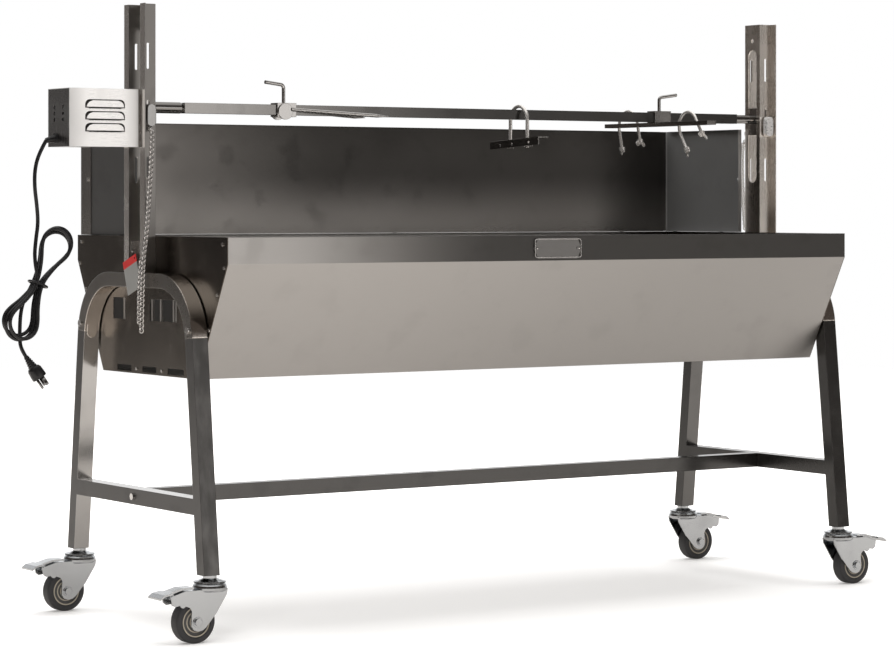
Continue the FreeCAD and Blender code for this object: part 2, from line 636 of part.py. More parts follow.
def make_carriage_right():
    """Slide block inside the right post, bored for the spit's journal."""
    body = new_body("CarriageRight")
    cheek = "post_half - post_gauge - slide_gap"
    extrude(body, "x", "half_length + post_gauge + slide_gap", "half_length + post_depth - 1",
            [box_points(f"-({cheek})", cheek, "893", "948")])
    extrude(body, "x", "half_length", "half_length + 40",
            circles=[("0", "spit_level", "journal_radius + run_gap")],
            cut=True)
    extrude(body, "y", f"-({cheek}) - 1", "-13", circles=[("knob_out", "knob_level", "knob_screw + run_gap")],
            cut=True)
    extrude(body, "y", cheek, "post_half + 5", circles=[("knob_out", "knob_level", "2.2")])
    extrude(body, "y", "post_half + 5", "post_half + 7", circles=[("knob_out", "knob_level", "4.5")])
    finish(body, "carriage_right")


def make_knob(side, sign):
    """Clamp screw through the post's front slot, with a tall rounded grip."""
    body = new_body(f"Knob{side.title()}")
    centre = "knob_out" if sign > 0 else "-knob_out"
    extrude(body, "y", "-38.5", "-27", slots=[(centre, "knob_level - 20", "knob_level + 20", "8.5")])
    extrude(body, "y", "-29", "-post_half - 0.5", circles=[(centre, "knob_level", "2.5")])
    extrude(body, "y", "-25", "-14", circles=[(centre, "knob_level", "knob_screw")])
    finish(body, f"knob_{side}")


# --------------------------------------------------------------------------------------------------
# Motor box
# --------------------------------------------------------------------------------------------------

LOUVER_LEVELS = (881.5, 902.3, 923.1)


def make_motor_housing():
    """Folded cover: front, top and rear with pressed louvers."""
    body = new_body("MotorHousing")
    outline = [("box_front", "box_low"), ("box_front + box_gauge", "box_low"),
               ("box_front + box_gauge", "box_high - box_gauge"),
               ("box_rear - box_gauge", "box_high - box_gauge"),
               ("box_rear - box_gauge", "box_low"), ("box_rear", "box_low"), ("box_rear", "box_high"),
               ("box_front", "box_high")]
    extrude(body, "x", "box_left", "box_right", [outline])
    for low, high in (("box_front - 1.5", "box_front"), ("box_rear", "box_rear + 1.5")):
        rise = ((-831, 0), (-757, 0), (-758.5, 6), (-762, 9.5), (-768, 11.5), (-818, 11.5), (-825, 9),
                (-829, 5))
        hoods = [[(str(x), f"{level + lift}") for x, lift in rise] for level in LOUVER_LEVELS]
        extrude(body, "y", low, high, hoods)
    for low, high in (("box_front - 2", "box_front + 2"), ("box_rear - 2", "box_rear + 2")):
        gaps = [box_points("-826", "-762", f"{level} - 2.6", f"{level} - 0.4") for level in LOUVER_LEVELS]
        extrude(body, "y", low, high, gaps, cut=True)
    finish(body, "motor_housing")


def make_motor_end_cover():
    """Folded tray: the left end with six vent holes and the cord hole, and the bottom."""
    body = new_body("MotorEndCover")
    front, rear = "box_front + box_gauge", "box_rear - box_gauge"
    extrude(body, "x", "box_left", "box_left + box_gauge",
            [box_points(front, rear, "box_low", "box_high - box_gauge")])
    extrude(body, "z", "box_low", "box_low + box_gauge", [box_points("box_left", "box_right", front, rear)])
    holes = [(str(y), str(z), "3.8") for y in (2, 36) for z in (901, 912, 923)]
    holes.append(("30", "868", "6"))
    extrude(body, "x", "box_left - 1", "box_left + 3", circles=holes, cut=True)
    finish(body, "motor_end_cover")


def make_gearmotor():
    """Motor can with its gear plate, idler pin and spacers."""
    plate = block("GearPlate", ("-764", "-761"), ("-18", "57"), ("874", "948"))
    can = rod("MotorCan", "x", "-850", "-764", ("rotor_y", "rotor_z"), "17")
    pin = rod("IdlerPin", "x", "-762", "-731", ("idler_y", "idler_z"), "3")
    spacers = [rod(f"Spacer{index}", "x", "-762", "box_right", place, "3")
               for index, place in enumerate((("-14", "943"), ("-14", "880"), ("52", "943")))]
    solid = fuse("GearmotorSolid", [plate, can, pin] + spacers)
    bores = fuse("GearmotorBores", [
        rod("RotorBore", "x", "-792", "-760", ("rotor_y", "rotor_z"), "3 + run_gap"),
        rod("PivotBore", "x", "-765", "-760", ("0", "spit_level"), "2.5 + run_gap")])
    finish(cut("Gearmotor", solid, bores), "gearmotor")


def gear_outline(teeth, phase):
    """Straight-sided teeth of module 1; phase is the direction of one tooth's middle in degrees."""
    pitch = 360 / teeth
    radius = teeth / 2
    flanks = ((radius - 1.25, -0.27), (radius, -0.2), (radius + 0.9, -0.1),
              (radius + 0.9, 0.1), (radius, 0.2), (radius - 1.25, 0.27))
    points = []
    for tooth in range(teeth):
        for reach, offset in flanks:
            angle = math.radians(phase + (tooth + offset) * pitch)
            points.append((reach * math.cos(angle), reach * math.sin(angle)))
    return points


def gear(teeth, phase, centre, low, high):
    """A gear about an X axis."""
    middle_y, middle_z = centre
    corners = [Vector(low, middle_y + y, middle_z + z) for y, z in gear_outline(teeth, phase)]
    face = Part.Face(Part.makePolygon(corners + corners[:1]))
    return face.extrude(Vector(high - low, 0, 0))


def x_rod(centre, radius, low, high):
    return Part.makeCylinder(radius, high - low, Vector(low, *centre), X_AXIS)


def make_gear_train():
    """Rotor pinion, compound idler and the output gear with its square drive socket."""
    output = (0, size("spit_level"))
    idler = (size("idler_y"), size("idler_z"))
    rotor = (size("rotor_y"), size("rotor_z"))
    to_idler = math.degrees(math.atan2(idler[1] - output[1], idler[0] - output[0]))
    to_rotor = math.degrees(math.atan2(rotor[1] - idler[1], rotor[0] - idler[0]))
    output_teeth, small_teeth, large_teeth, pinion_teeth = 34, 14, 40, 12
    gap = size("run_gap")

    bar = size("shaft_radius")
    socket = gear(output_teeth, to_idler, output, -743, -735)
    mouth = size("socket_end")
    socket = socket.fuse([x_rod(output, bar, -743, mouth), x_rod(output, 2.5, -762, -743)])
    side, depth = 12.2, 20
    square = Part.makeBox(depth, side, side, Vector(mouth - depth, -side / 2, output[1] - side / 2))
    finish(from_shape("DriveSocket", socket.cut(square).removeSplitter()), "drive_socket")

    wheel = gear(large_teeth, to_rotor, idler, -754, -747)
    wheel = wheel.fuse([gear(small_teeth, to_idler + 180 + 180 / small_teeth, idler, -743, -735),
                        x_rod(idler, 5.2, -754, -735)])
    wheel = wheel.cut(x_rod(idler, 3 + gap, -760, -730)).removeSplitter()
    finish(from_shape("ReductionGear", wheel), "reduction_gear")

    pinion = gear(pinion_teeth, to_rotor + 180 + 180 / pinion_teeth, rotor, -755, -746)
    pinion = pinion.fuse(x_rod(rotor, 3, -791, -746)).removeSplitter()
    finish(from_shape("RotorPinion", pinion), "rotor_pinion")


# --------------------------------------------------------------------------------------------------
# Spit and its clamps
# --------------------------------------------------------------------------------------------------

def make_spit():
    level = "spit_level"
    parts = [
        block("SpitBar", ("bar_left", "bar_right"), ("-bar_side / 2", "bar_side / 2"),
              (f"{level} - bar_side / 2", f"{level} + bar_side / 2")),
        rod("SpitStub", "x", "socket_end + 0.5", "bar_left - 6", ("0", level), "stub_radius"),
        block("SpitTang", ("socket_end - 18", "socket_end + 1"), ("-6", "6"),
              (f"{level} - 6", f"{level} + 6")),
        rod("SpitJournal", "x", "bar_right - 1", "712", ("0", level), "journal_radius"),
    ]
    chamfer = primitive("Cone", "SpitChamfer", ("bar_left - 6", "0", level),
                        {"Radius1": "stub_radius", "Radius2": "stub_radius - 2.5", "Height": "7"},
                        (Y_AXIS, 90))
    finish(fuse("Spit", parts + [chamfer]), "spit_bar")


def rod_along(points, radius):
    """A round rod bent along straight runs and tangent arcs given as edges."""
    wire = Part.Wire(points)
    start = wire.Edges[0].valueAt(wire.Edges[0].FirstParameter)
    heading = wire.Edges[0].tangentAt(wire.Edges[0].FirstParameter)
    profile = Part.Wire(Part.makeCircle(radius, start, heading))
    return wire.makePipeShell([profile], True, False)


def l_screw(name, x, shank, turn, run, rise, label):
    """Clamp screw up out of a sleeve, its top bent over as a rising handle towards turn."""
    middle, foot_level = size(x), size("spit_level") + 12.9
    bend_radius, knee_level = 7, foot_level + shank
    sweep = math.atan2(run, rise)

    def on_bend(angle):
        return Vector(middle + turn * bend_radius * (1 - math.cos(angle)), 0,
                      knee_level + bend_radius * math.sin(angle))

    bend = on_bend(sweep)
    tip = bend + Vector(turn * run, 0, rise)
    edges = [Part.LineSegment(Vector(middle, 0, foot_level), on_bend(0)).toShape(),
             Part.Arc(on_bend(0), on_bend(sweep / 2), bend).toShape(), Part.LineSegment(bend, tip).toShape()]
    finish(from_shape(name, rod_along(edges, 3.4)), label)


def sleeve(name, centre, half, bore_gap="slide_gap"):
    """Square tube sliding on the bar, with a boss for its clamp screw."""
    outer = f"bar_side / 2 + {bore_gap} + sleeve_wall"
    inner = f"bar_side / 2 + {bore_gap}"
    level = "spit_level"
    skin = block(f"{name}Skin", (f"{centre} - {half}", f"{centre} + {half}"), (f"-({outer})", outer),
                 (f"{level} - ({outer})", f"{level} + {outer}"))
    core = block(f"{name}Core", (f"{centre} - {half} - 1", f"{centre} + {half} + 1"), (f"-({inner})", inner),
                 (f"{level} - ({inner})", f"{level} + {inner}"))
    return cut(f"{name}Tube", skin, core)


def make_spit_fork():
    """Meat fork: a sleeve with round-bottomed cheeks and two pointed prongs."""
    tube = sleeve("ForkSleeve", "fork_x", "20")
    face = "bar_side / 2 + slide_gap + sleeve_wall"
    parts = [tube]
    for index, turn in enumerate((-1, 1)):
        y = outward(turn, face, f"{face} + 3")
        parts.append(rod(f"ForkCheek{index}", "y", *y, ("fork_x - 4", "spit_level - 3"), "15"))
        root = Vector(size("fork_x") + 8, turn * (size(face) + 2), size("spit_level") + 1)
        tip = Vector(size("fork_x") + 203, turn * 42, size("spit_level") - 10)
        heading = tip - root
        prong = Part.makeCylinder(3.4, heading.Length - 25, root, heading)
        point = Part.makeCone(3.4, 0.6, 25, root + heading * (1 - 25 / heading.Length), heading)
        parts.append(from_shape(f"ForkProng{index}", prong.fuse(point).removeSplitter()))
    solid = fuse("ForkSolid", parts)
    hole = rod("ForkScrewHole", "z", "spit_level + bar_side / 2", "spit_level + 30", ("fork_x", "0"),
               "3.4 + run_gap")
    finish(cut("SpitFork", solid, hole), "spit_fork")


def u_bolt_shape(centre, half, crown, foot, radius, tilt):
    """Round rod bent to an arch in the YZ plane, leaned about the point where it crosses its bar."""
    middle = Vector(*centre)
    left, right = Vector(0, -half, crown - half), Vector(0, half, crown - half)
    top = Vector(0, 0, crown)
    edges = [Part.LineSegment(Vector(0, -half, foot), left).toShape(), Part.Arc(left, top, right).toShape(),
             Part.LineSegment(right, Vector(0, half, foot)).toShape()]
    shape = rod_along(edges, radius)
    shape.rotate(Vector(), X_AXIS, tilt)
    shape.translate(middle)
    return shape


def wing_nut_shape(place, tilt, spin, bore):
    """Conical nut with two raised wings, threaded up onto a rod that points down."""
    body = Part.makeCone(bore + 2.2, bore + 3.4, 8, Vector(0, 0, -8), Z_AXIS)
    shape = body
    for turn in (-1, 1):
        wing = Part.makeCylinder(5, 2, Vector(turn * 10, -1, -9), Y_AXIS)
        stalk = Part.makeBox(8, 2, 5, Vector(min(turn * 2, turn * 10), -1, -8), Z_AXIS)
        shape = shape.fuse([wing, stalk])
    shape = shape.cut(Part.makeCylinder(bore, 30, Vector(0, 0, -20), Z_AXIS)).removeSplitter()
    shape.rotate(Vector(), Z_AXIS, spin)
    shape.translate(place)
    shape.rotate(Vector(), X_AXIS, tilt)
    return shape


# Leg U-bolts: each one's middle Y, half width, crown, foot and lean in degrees.
LEG_U_ROD = 3
LEG_U_BOLTS = ((103, 31, 29, -48, -14), (-90, 28.5, 22, -50, -33))


def make_leg_clamp():
    """Cross bar for the legs: sleeve, flat bar under the spit, two U-bolts and four wing nuts."""
    bar_top = "spit_level - bar_side / 2 - slide_gap"
    bar_low = f"{bar_top} - 8"
    tube = sleeve("ClampSleeve", "clamp_x", "20")
    bar = block("ClampBar", ("clamp_x - 11", "clamp_x + 11"), ("-168", "168"), (bar_low, bar_top))
    solid = fuse("ClampSolid", [tube, bar])
    level = size(bar_top) - 4
    tools = [rod("ClampScrewHole", "z", "spit_level + bar_side / 2", "spit_level + 30", ("clamp_x", "0"),
                 "3.4 + run_gap")]
    bolts, nuts = [], []
    for index, (middle, half, crown, foot, tilt) in enumerate(LEG_U_BOLTS):
        centre = (size("clamp_x"), middle, level)
        bolts.append(from_shape(f"LegU{index}", u_bolt_shape(centre, half, crown, foot, LEG_U_ROD, tilt)))
        tools.append(from_shape(f"ClampHole{index}",
                                u_bolt_shape(centre, half, crown, foot, LEG_U_ROD + 0.4, tilt)))
        for leg, spin in ((-1, 20), (1, 65)):
            nut = wing_nut_shape(Vector(0, leg * half, foot + 10), tilt, spin, LEG_U_ROD + 0.05)
            nut.translate(Vector(*centre))
            nuts.append(from_shape(f"LegNut{index}{leg}", nut))
    finish(cut("LegClamp", solid, fuse("ClampHoles", tools)), "leg_clamp_bar")
    finish(group("LegUBolts", bolts), "leg_u_bolts")
    finish(group("LegNuts", nuts), "leg_wing_nuts")


def make_spine_brace():
    """U-bolt hung over the spit with a drilled angle bar, hanging a little askew, and wing nuts under it."""
    half, drop, seat, bolt_radius = 28.5, 64, 47.5, 3.6
    length, gauge, hole_radius = 164, 2, 2.6
    crown = size("bar_side") / 2 + bolt_radius + 3.5
    middle = Vector(size("brace_x"), 0, size("spit_level"))
    finish(from_shape("BraceU", u_bolt_shape(middle, half, crown, -drop, bolt_radius, 0)), "brace_u_bolt")
    flat = Part.makeBox(22, length, gauge, Vector(-10, -length / 2, -gauge))
    wall = Part.makeBox(gauge, length, 15, Vector(-12, -length / 2, -15))
    angle_bar = flat.fuse(wall)
    for turn in (-1, 1):
        angle_bar = angle_bar.cut(Part.makeCylinder(bolt_radius + 0.4, 9, Vector(0, turn * half, -4), Z_AXIS))
    for y in (-49, 7, 46):
        angle_bar = angle_bar.cut(Part.makeCylinder(hole_radius, 9, Vector(-16, y, -8.5), X_AXIS))
    angle_bar = angle_bar.removeSplitter()
    angle_bar.rotate(Vector(), X_AXIS, -2.7)
    angle_bar.translate(middle - Vector(0, 0, seat))
    finish(from_shape("BracePlate", angle_bar), "brace_plate")
    nuts = []
    for turn, spin in ((-1, 100), (1, 80)):
        nut = wing_nut_shape(Vector(), 0, spin, bolt_radius + 0.05)
        underside = -seat - gauge - turn * half * math.tan(math.radians(2.7)) - 0.45
        nut.translate(middle + Vector(0, turn * half, underside))
        nuts.append(from_shape(f"BraceNut{turn}", nut))
    finish(group("BraceNuts", nuts), "brace_wing_nuts")


# --------------------------------------------------------------------------------------------------
# Chains and tag
# --------------------------------------------------------------------------------------------------

CHAIN_RADIUS = 2.6


def run_of(points, radius):
    """A round strand through the points, with a ball at each bend."""
    corners = [Vector(*point) for point in points]
    pieces = [Part.makeCylinder(radius, (end - start).Length, start, end - start)
              for start, end in zip(corners, corners[1:])]
    pieces += [Part.makeSphere(radius, corner) for corner in corners[1:-1]]
    return pieces[0].fuse(pieces[1:]).removeSplitter() if len(pieces) > 1 else pieces[0]


def make_chains():
    """Chains hung from the carriages' screws: an eye, a neck past the knob and the strands' outline.

    The left one hangs in front of its post and doubles back; the right one hangs behind its post.
    """
    level = size("knob_level")
    routes = {
        "left": [[(-712, -44, 868), (-722, -50, 715), (-730.5, -52, 632), (-732, -48, 526)],
                 [(-730.5, -44, 652), (-731, -41, 540)]],
        "right": [[(704, 44, 868), (706, 48, 800), (713, 46, 700)]],
    }
    for side, sign, face in (("left", -1, -1), ("right", 1, 1)):
        x, y = sign * size("knob_out"), face * (size("post_half") + 1.7)
        eye = Part.makeTorus(5.2, 1.1, Vector(x, y, level - 1.5), Y_AXIS)
        neck = run_of([(x, y, level - 7), (x, y, level - 24)], 1.2)
        long_run = [(x, y + face * 1.6, level - 25)] + routes[side][0]
        strands = [run_of(route, CHAIN_RADIUS) for route in [long_run] + routes[side][1:]]
        finish(from_shape(f"Chain{side.title()}", Part.makeCompound([eye, neck] + strands)), f"chain_{side}")


def make_tag():
    """Plain hang tag, tilted, at the left post's foot."""
    tag = Part.makeBox(0.8, 52, 62, Vector(0, -26, -62))
    tag = tag.cut(Part.makeCylinder(2.2, 5, Vector(-2, -20, -6), X_AXIS))
    tag.rotate(Vector(), X_AXIS, -19)
    tag.translate(Vector(-size("half_length") - 33.5, 14, 655))
    finish(from_shape("Tag", tag), "blank_tag")


# --------------------------------------------------------------------------------------------------
# Power cord
# --------------------------------------------------------------------------------------------------

CORD_RADIUS = 3.4
CORD_PLANE = 30

# Middle of the cord in millimetres, from the gland to the hank and from the hank to the plug.
CORD_DOWN = [(-883, 30, 864), (-896, 31, 842), (-905, 30, 814), (-906, 29, 782), (-901, 30, 750),
             (-898, 31, 718),
             (-902, 30, 692)]
CORD_TAIL = [(-932, 30, 510), (-928, 31, 494), (-918, 30, 478)]

# The tied hank's outline: middle X, level, half width along X and half thickness along Y.
HANK_SECTIONS = ((-866, 696, 24, 5), (-860, 682, 36, 9), (-876, 650, 28, 10), (-899, 611, 15, 13),
                 (-921, 582, 27, 10), (-934, 545, 31, 9), (-945, 512, 20, 5))


def round_route(points):
    """Straight runs joined by tangent arcs, as large as the runs beside them allow."""
    corners = [Vector(*point) for point in points]
    edges, radii = [], []
    start = corners[0]
    for before, corner, after in zip(corners, corners[1:], corners[2:]):
        incoming, outgoing = (before - corner), (after - corner)
        turn = math.pi - incoming.getAngle(outgoing)
        reach = 0.45 * min(incoming.Length, outgoing.Length)
        incoming.normalize()
        outgoing.normalize()
        radius = reach / math.tan(turn / 2)
        enter, leave = corner + incoming * reach, corner + outgoing * reach
        inward = (incoming + outgoing).normalize()
        centre_distance = radius / math.cos(turn / 2)
        middle = corner + inward * (centre_distance - radius)
        edges.append(Part.LineSegment(start, enter).toShape())
        edges.append(Part.Arc(enter, middle, leave).toShape())
        radii.append(radius)
        start = leave
    edges.append(Part.LineSegment(start, corners[-1]).toShape())
    return edges, radii


def cord_tube(points):
    edges, radii = round_route(points)
    length = sum(edge.Length for edge in edges)
    tube = rod_along(edges, CORD_RADIUS)
    section = math.pi * CORD_RADIUS ** 2
    print("cord run", round(length), "mm, radii", [round(radius) for radius in radii],
          "volume ratio", round(tube.Volume / (section * length), 4))
    return tube


def make_cord():
    """Gland, free cord in two stretches, the tied hank between them, its tie and the plug."""
    gland_end = Vector(*CORD_DOWN[0])
    start = Vector(size("box_left") - 0.2, CORD_PLANE, 868)
    heading = gland_end - start
    collar = Part.makeCylinder(9, 3, Vector(start.x - 2.8, CORD_PLANE, 868), X_AXIS)
    neck = Part.makeCylinder(5.7, 6, start, X_AXIS)
    taper = Part.makeCone(7, 4.6, heading.Length, start, heading)
    finish(from_shape("StrainRelief", neck.fuse([collar, taper]).removeSplitter()), "strain_relief")

    tubes = [cord_tube(CORD_DOWN), cord_tube(CORD_TAIL)]
    finish(from_shape("PowerCord", Part.makeCompound(tubes)), "power_cord")

    rings = []
    for x, z, wide, thick in HANK_SECTIONS:
        oval = Part.Ellipse(Vector(x, CORD_PLANE, z), wide, thick).toShape()
        rings.append(Part.Wire(oval))
    hank = Part.makeLoft(rings, True, False)
    finish(from_shape("CordHank", hank), "cord_hank")

    axis = Vector(-40, 0, -100)
    tie = Part.makeTorus(17, 2, Vector(-899, CORD_PLANE, 611), axis)
    finish(from_shape("CordTie", tie), "cord_tie")

    end = Vector(*CORD_TAIL[-1])
    down = (end - Vector(*CORD_TAIL[-2])).normalize()
    grip = Part.makeCone(5, 8, 16, end, down)
    body_start = end + down * 16
    lean = FreeCAD.Rotation(Z_AXIS, down)
    body = Part.makeBox(20, 26, 22, Vector(-10, -13, 0))
    body.Placement = FreeCAD.Placement(body_start, lean)
    blades = []
    for offset in (-6.35, 6.35):
        blade = Part.makeBox(1.5, 6.3, 17, Vector(offset - 0.75, -3.15 + 3, 21.5))
        blade.Placement = FreeCAD.Placement(body_start, lean)
        blades.append(blade)
    pin = Part.makeCylinder(2.4, 19, Vector(0, -8, 21.5), Z_AXIS)
    pin.Placement = FreeCAD.Placement(body_start, lean)
    finish(from_shape("Plug", grip.fuse([body, pin] + blades).removeSplitter()), "power_plug")


# --------------------------------------------------------------------------------------------------
# The machine
# --------------------------------------------------------------------------------------------------

make_hopper()
make_grate_hangers()
make_grate()
make_name_plate()
make_wind_guard()
for end_name, end_sign in ENDS:
    make_end_panel(end_name, end_sign)
    make_post(end_name, end_sign)
    make_arch(end_name, end_sign)
    make_leg_frame(end_name, end_sign)
    make_knob(end_name, end_sign)
    for face_name, face_sign in (("front", -1), ("rear", 1)):
        make_caster(f"{face_name}_{end_name}", end_sign, face_sign)
make_post_brackets()
make_stretcher()
make_fasteners()
make_caster_stems()
make_carriage_left()
make_carriage_right()
make_motor_housing()
make_motor_end_cover()
make_gearmotor()
make_gear_train()
make_spit()
make_spit_fork()
l_screw("ForkScrew", "fork_x", 27, -1, 33, 4, "fork_screw")
make_leg_clamp()
l_screw("ClampScrew", "clamp_x", 21, 1, 37, 5, "leg_clamp_screw")
make_spine_brace()
make_chains()
make_tag()
make_cord()
doc.recompute()

for item in doc.Objects:
    if {"Invalid", "Error"} & set(item.State):
        raise RuntimeError(f"{item.Name} ({item.Label}) failed: {item.State}")
for label, item in nodes.items():
    if item.Shape.isNull() or not item.Shape.isValid():
        raise RuntimeError(f"{label} has no valid shape")

os.makedirs("parts", exist_ok=True)
for label, item in nodes.items():
    item.Shape.exportStep(os.path.join("parts", f"{label}.step"))
print(len(nodes), "sub-parts written")
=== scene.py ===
"""Looks for the rotisserie spit roaster.

The CAD's nodes get their finishes here. The pieces that the CAD leaves plain are made finer: the cord
and its plug, the chains, the turned wheels and some trim. Then come the world, the floor and the lights.
"""

import json
import math

import bpy
from mathutils import Matrix, Vector


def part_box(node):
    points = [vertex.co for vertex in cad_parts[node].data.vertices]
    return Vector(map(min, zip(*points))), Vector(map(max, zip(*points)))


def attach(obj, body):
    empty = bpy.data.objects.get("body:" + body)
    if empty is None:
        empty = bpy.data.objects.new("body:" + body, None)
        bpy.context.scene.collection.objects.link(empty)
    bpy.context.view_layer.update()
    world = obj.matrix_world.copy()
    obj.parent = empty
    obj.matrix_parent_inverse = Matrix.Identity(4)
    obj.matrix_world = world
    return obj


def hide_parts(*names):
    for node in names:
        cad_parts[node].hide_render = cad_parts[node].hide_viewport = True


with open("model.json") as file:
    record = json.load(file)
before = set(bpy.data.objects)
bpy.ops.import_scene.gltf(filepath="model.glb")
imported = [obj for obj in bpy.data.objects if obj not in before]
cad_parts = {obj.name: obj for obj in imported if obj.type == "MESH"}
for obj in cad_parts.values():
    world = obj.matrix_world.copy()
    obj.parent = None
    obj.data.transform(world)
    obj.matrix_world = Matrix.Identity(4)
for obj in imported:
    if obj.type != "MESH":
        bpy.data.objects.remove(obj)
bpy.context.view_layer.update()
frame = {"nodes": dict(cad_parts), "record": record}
nodes = frame["nodes"]

# The CAD's own frame is the trough's middle, moved by this much to sit under the machine's middle.
SHIFT = Vector((0.02425, 0.00125, 0))


def at(x, y, z):
    """A point given in millimetres from the trough's middle at floor level."""
    return Vector((x, y, z)) / 1000 + SHIFT


# ---- camera ---------------------------------------------------------------------------------------

def make_camera():
    data = bpy.data.cameras.new("camera")
    data.sensor_width = 36
    data.lens = 121.0
    data.shift_x = 0.0008
    data.shift_y = -0.1451
    data.clip_end = 100
    camera = bpy.data.objects.new("camera", data)
    camera.location = at(-3218.9, -4779.0, 749.7)
    camera.rotation_euler = (math.radians(90), 0, math.radians(-33.493))
    bpy.context.scene.collection.objects.link(camera)
    bpy.context.scene.camera = camera


make_camera()


# ---- mesh helpers ---------------------------------------------------------------------------------

def mesh_object(name, points, faces, smooth=True):
    mesh = bpy.data.meshes.new(name)
    mesh.from_pydata([tuple(point) for point in points], [], faces)
    mesh.validate()
    if smooth:
        mesh.shade_smooth()
    thing = bpy.data.objects.new(name, mesh)
    bpy.context.scene.collection.objects.link(thing)
    return thing


def tube_faces(rings, around, closed_ends=True):
    """Quads between consecutive rings of points, with a cap at each end."""
    faces = []
    for ring in range(rings - 1):
        for step in range(around):
            following = (step + 1) % around
            faces.append((ring * around + step, ring * around + following,
                          (ring + 1) * around + following, (ring + 1) * around + step))
    if closed_ends:
        faces.append(tuple(range(around))[::-1])
        faces.append(tuple((rings - 1) * around + step for step in range(around)))
    return faces


def plate(name, outline, origin, across, up, thick):
    """Flat plate: outline in millimetres in the across and up directions, thickened towards its normal."""
    across, up = Vector(across).normalized(), Vector(up).normalized()
    normal = across.cross(up)
    base = [origin + (across * x + up * z) / 1000 for x, z in outline]
    points = base + [point + normal * thick / 1000 for point in base]
    return mesh_object(name, points, tube_faces(2, len(outline)), smooth=False)


def rounded_outline(left, right, low, high, radius, corners=("ll", "lr", "ur", "ul"), steps=6):
    """Rectangle whose named corners are rounded."""
    centres = {"ll": (left + radius, low + radius, 180), "lr": (right - radius, low + radius, 270),
               "ur": (right - radius, high - radius, 0), "ul": (left + radius, high - radius, 90)}
    square = {"ll": (left, low), "lr": (right, low), "ur": (right, high), "ul": (left, high)}
    points = []
    for corner in ("ll", "lr", "ur", "ul"):
        if corner not in corners:
            points.append(square[corner])
            continue
        x, z, start = centres[corner]
        for step in range(steps + 1):
            angle = math.radians(start + 90 * step / steps)
            points.append((x + radius * math.cos(angle), z + radius * math.sin(angle)))
    return points


def loft(name, sections, origin, direction, side, around=28, power=2.6):
    """Rounded-box sections of (distance, half width, half depth) in millimetres along a direction."""
    direction = Vector(direction).normalized()
    depth = direction.cross(Vector(side)).normalized()
    width = depth.cross(direction)
    points = []
    for distance, half_width, half_depth in sections:
        for step in range(around):
            angle = 2 * math.pi * step / around
            cosine, sine = math.cos(angle), math.sin(angle)
            x = math.copysign(abs(cosine) ** (2 / power), cosine) * half_width
            y = math.copysign(abs(sine) ** (2 / power), sine) * half_depth
            points.append(origin + (direction * distance + width * x + depth * y) / 1000)
    return mesh_object(name, points, tube_faces(len(sections), around))


def lathe(name, profile, centre, axis, around=64):
    """Turned piece about its own origin; the profile is (distance along the axis, radius), in mm."""
    axis = Vector(axis).normalized()
    side = axis.orthogonal().normalized()
    other = axis.cross(side)
    points = []
    for distance, radius in profile:
        for step in range(around):
            angle = 2 * math.pi * step / around
            outward = side * math.cos(angle) + other * math.sin(angle)
            points.append((axis * distance + outward * radius) / 1000)
    thing = mesh_object(name, points, tube_faces(len(profile), around))
    thing.data.set_sharp_from_angle(angle=math.radians(32))
    thing.location = centre
    return thing


def finish_piece(thing, material, body):
    thing.data.materials.append(material)
    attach(thing, body)
    return thing


# ---- shaders --------------------------------------------------------------------------------------

class Nodes:
    """Small helper that adds and links shader nodes."""

    def __init__(self, tree):
        self.tree = tree
        tree.nodes.clear()

    def add(self, kind, inputs=None, **settings):
        node = self.tree.nodes.new(kind)
        for name, value in settings.items():
            setattr(node, name, value)
        for name, value in (inputs or {}).items():
            self.feed(node.inputs[name], value)
        return node

    def feed(self, socket, value):
        if isinstance(value, bpy.types.NodeSocket):
            self.tree.links.new(value, socket)
        else:
            socket.default_value = value

    def math(self, operation, a, b=0.0):
        node = self.add("ShaderNodeMath", operation=operation)
        self.feed(node.inputs[0], a)
        self.feed(node.inputs[1], b)
        return node.outputs[0]

    def plus(self, a, b):
        return self.math("ADD", a, b)

    def minus(self, a, b):
        return self.math("SUBTRACT", a, b)

    def times(self, a, b):
        return self.math("MULTIPLY", a, b)

    def ramp(self, value, low, high, low_out=0.0, high_out=1.0):
        """Smooth change from low_out to high_out while the value goes from low to high."""
        node = self.add("ShaderNodeMapRange", interpolation_type="SMOOTHSTEP")
        entries = {"Value": value, "From Min": low, "From Max": high, "To Min": low_out, "To Max": high_out}
        for name, entry in entries.items():
            self.feed(node.inputs[name], entry)
        return node.outputs[0]

    def mix(self, factor, a, b):
        node = self.add("ShaderNodeMix", data_type="RGBA")
        self.feed(node.inputs[0], factor)
        self.feed(node.inputs[6], a)
        self.feed(node.inputs[7], b)
        return node.outputs[2]

    def noise(self, scale, detail=3.0, stretch=(1, 1, 1)):
        """Noise of 0 to 1 in the piece's own coordinates; stretch multiplies the scale along each axis."""
        place = self.add("ShaderNodeTexCoord").outputs["Object"]
        mapped = self.add("ShaderNodeMapping", {"Vector": place, "Scale": stretch})
        texture = self.add("ShaderNodeTexNoise",
                           {"Vector": mapped.outputs[0], "Scale": scale, "Detail": detail})
        return texture.outputs[0]

    def part(self, axis):
        """One coordinate of the place on the piece, in metres."""
        place = self.add("ShaderNodeTexCoord").outputs["Object"]
        return self.add("ShaderNodeSeparateXYZ", {0: place}).outputs[axis]


def new_material(name):
    material = bpy.data.materials.new(name)
    material.use_nodes = True
    return material, Nodes(material.node_tree)


def grey(level, warmth=0.0):
    return (level * (1 + warmth), level, level * (1 - warmth), 1)


# How much finer the grain is across the brushing direction than along it.
GRAINS = {"x": (3, 240, 240), "y": (240, 3, 240), "z": (240, 240, 3), "none": (24, 24, 24)}
GRAIN_SCALE, STAIN_SCALE, PATCH_SCALE = 14, 5, 17
TONE_DARKENS, TONE_ROUGHENS = 0.85, 0.16
BUMP_DEPTH = 0.0002


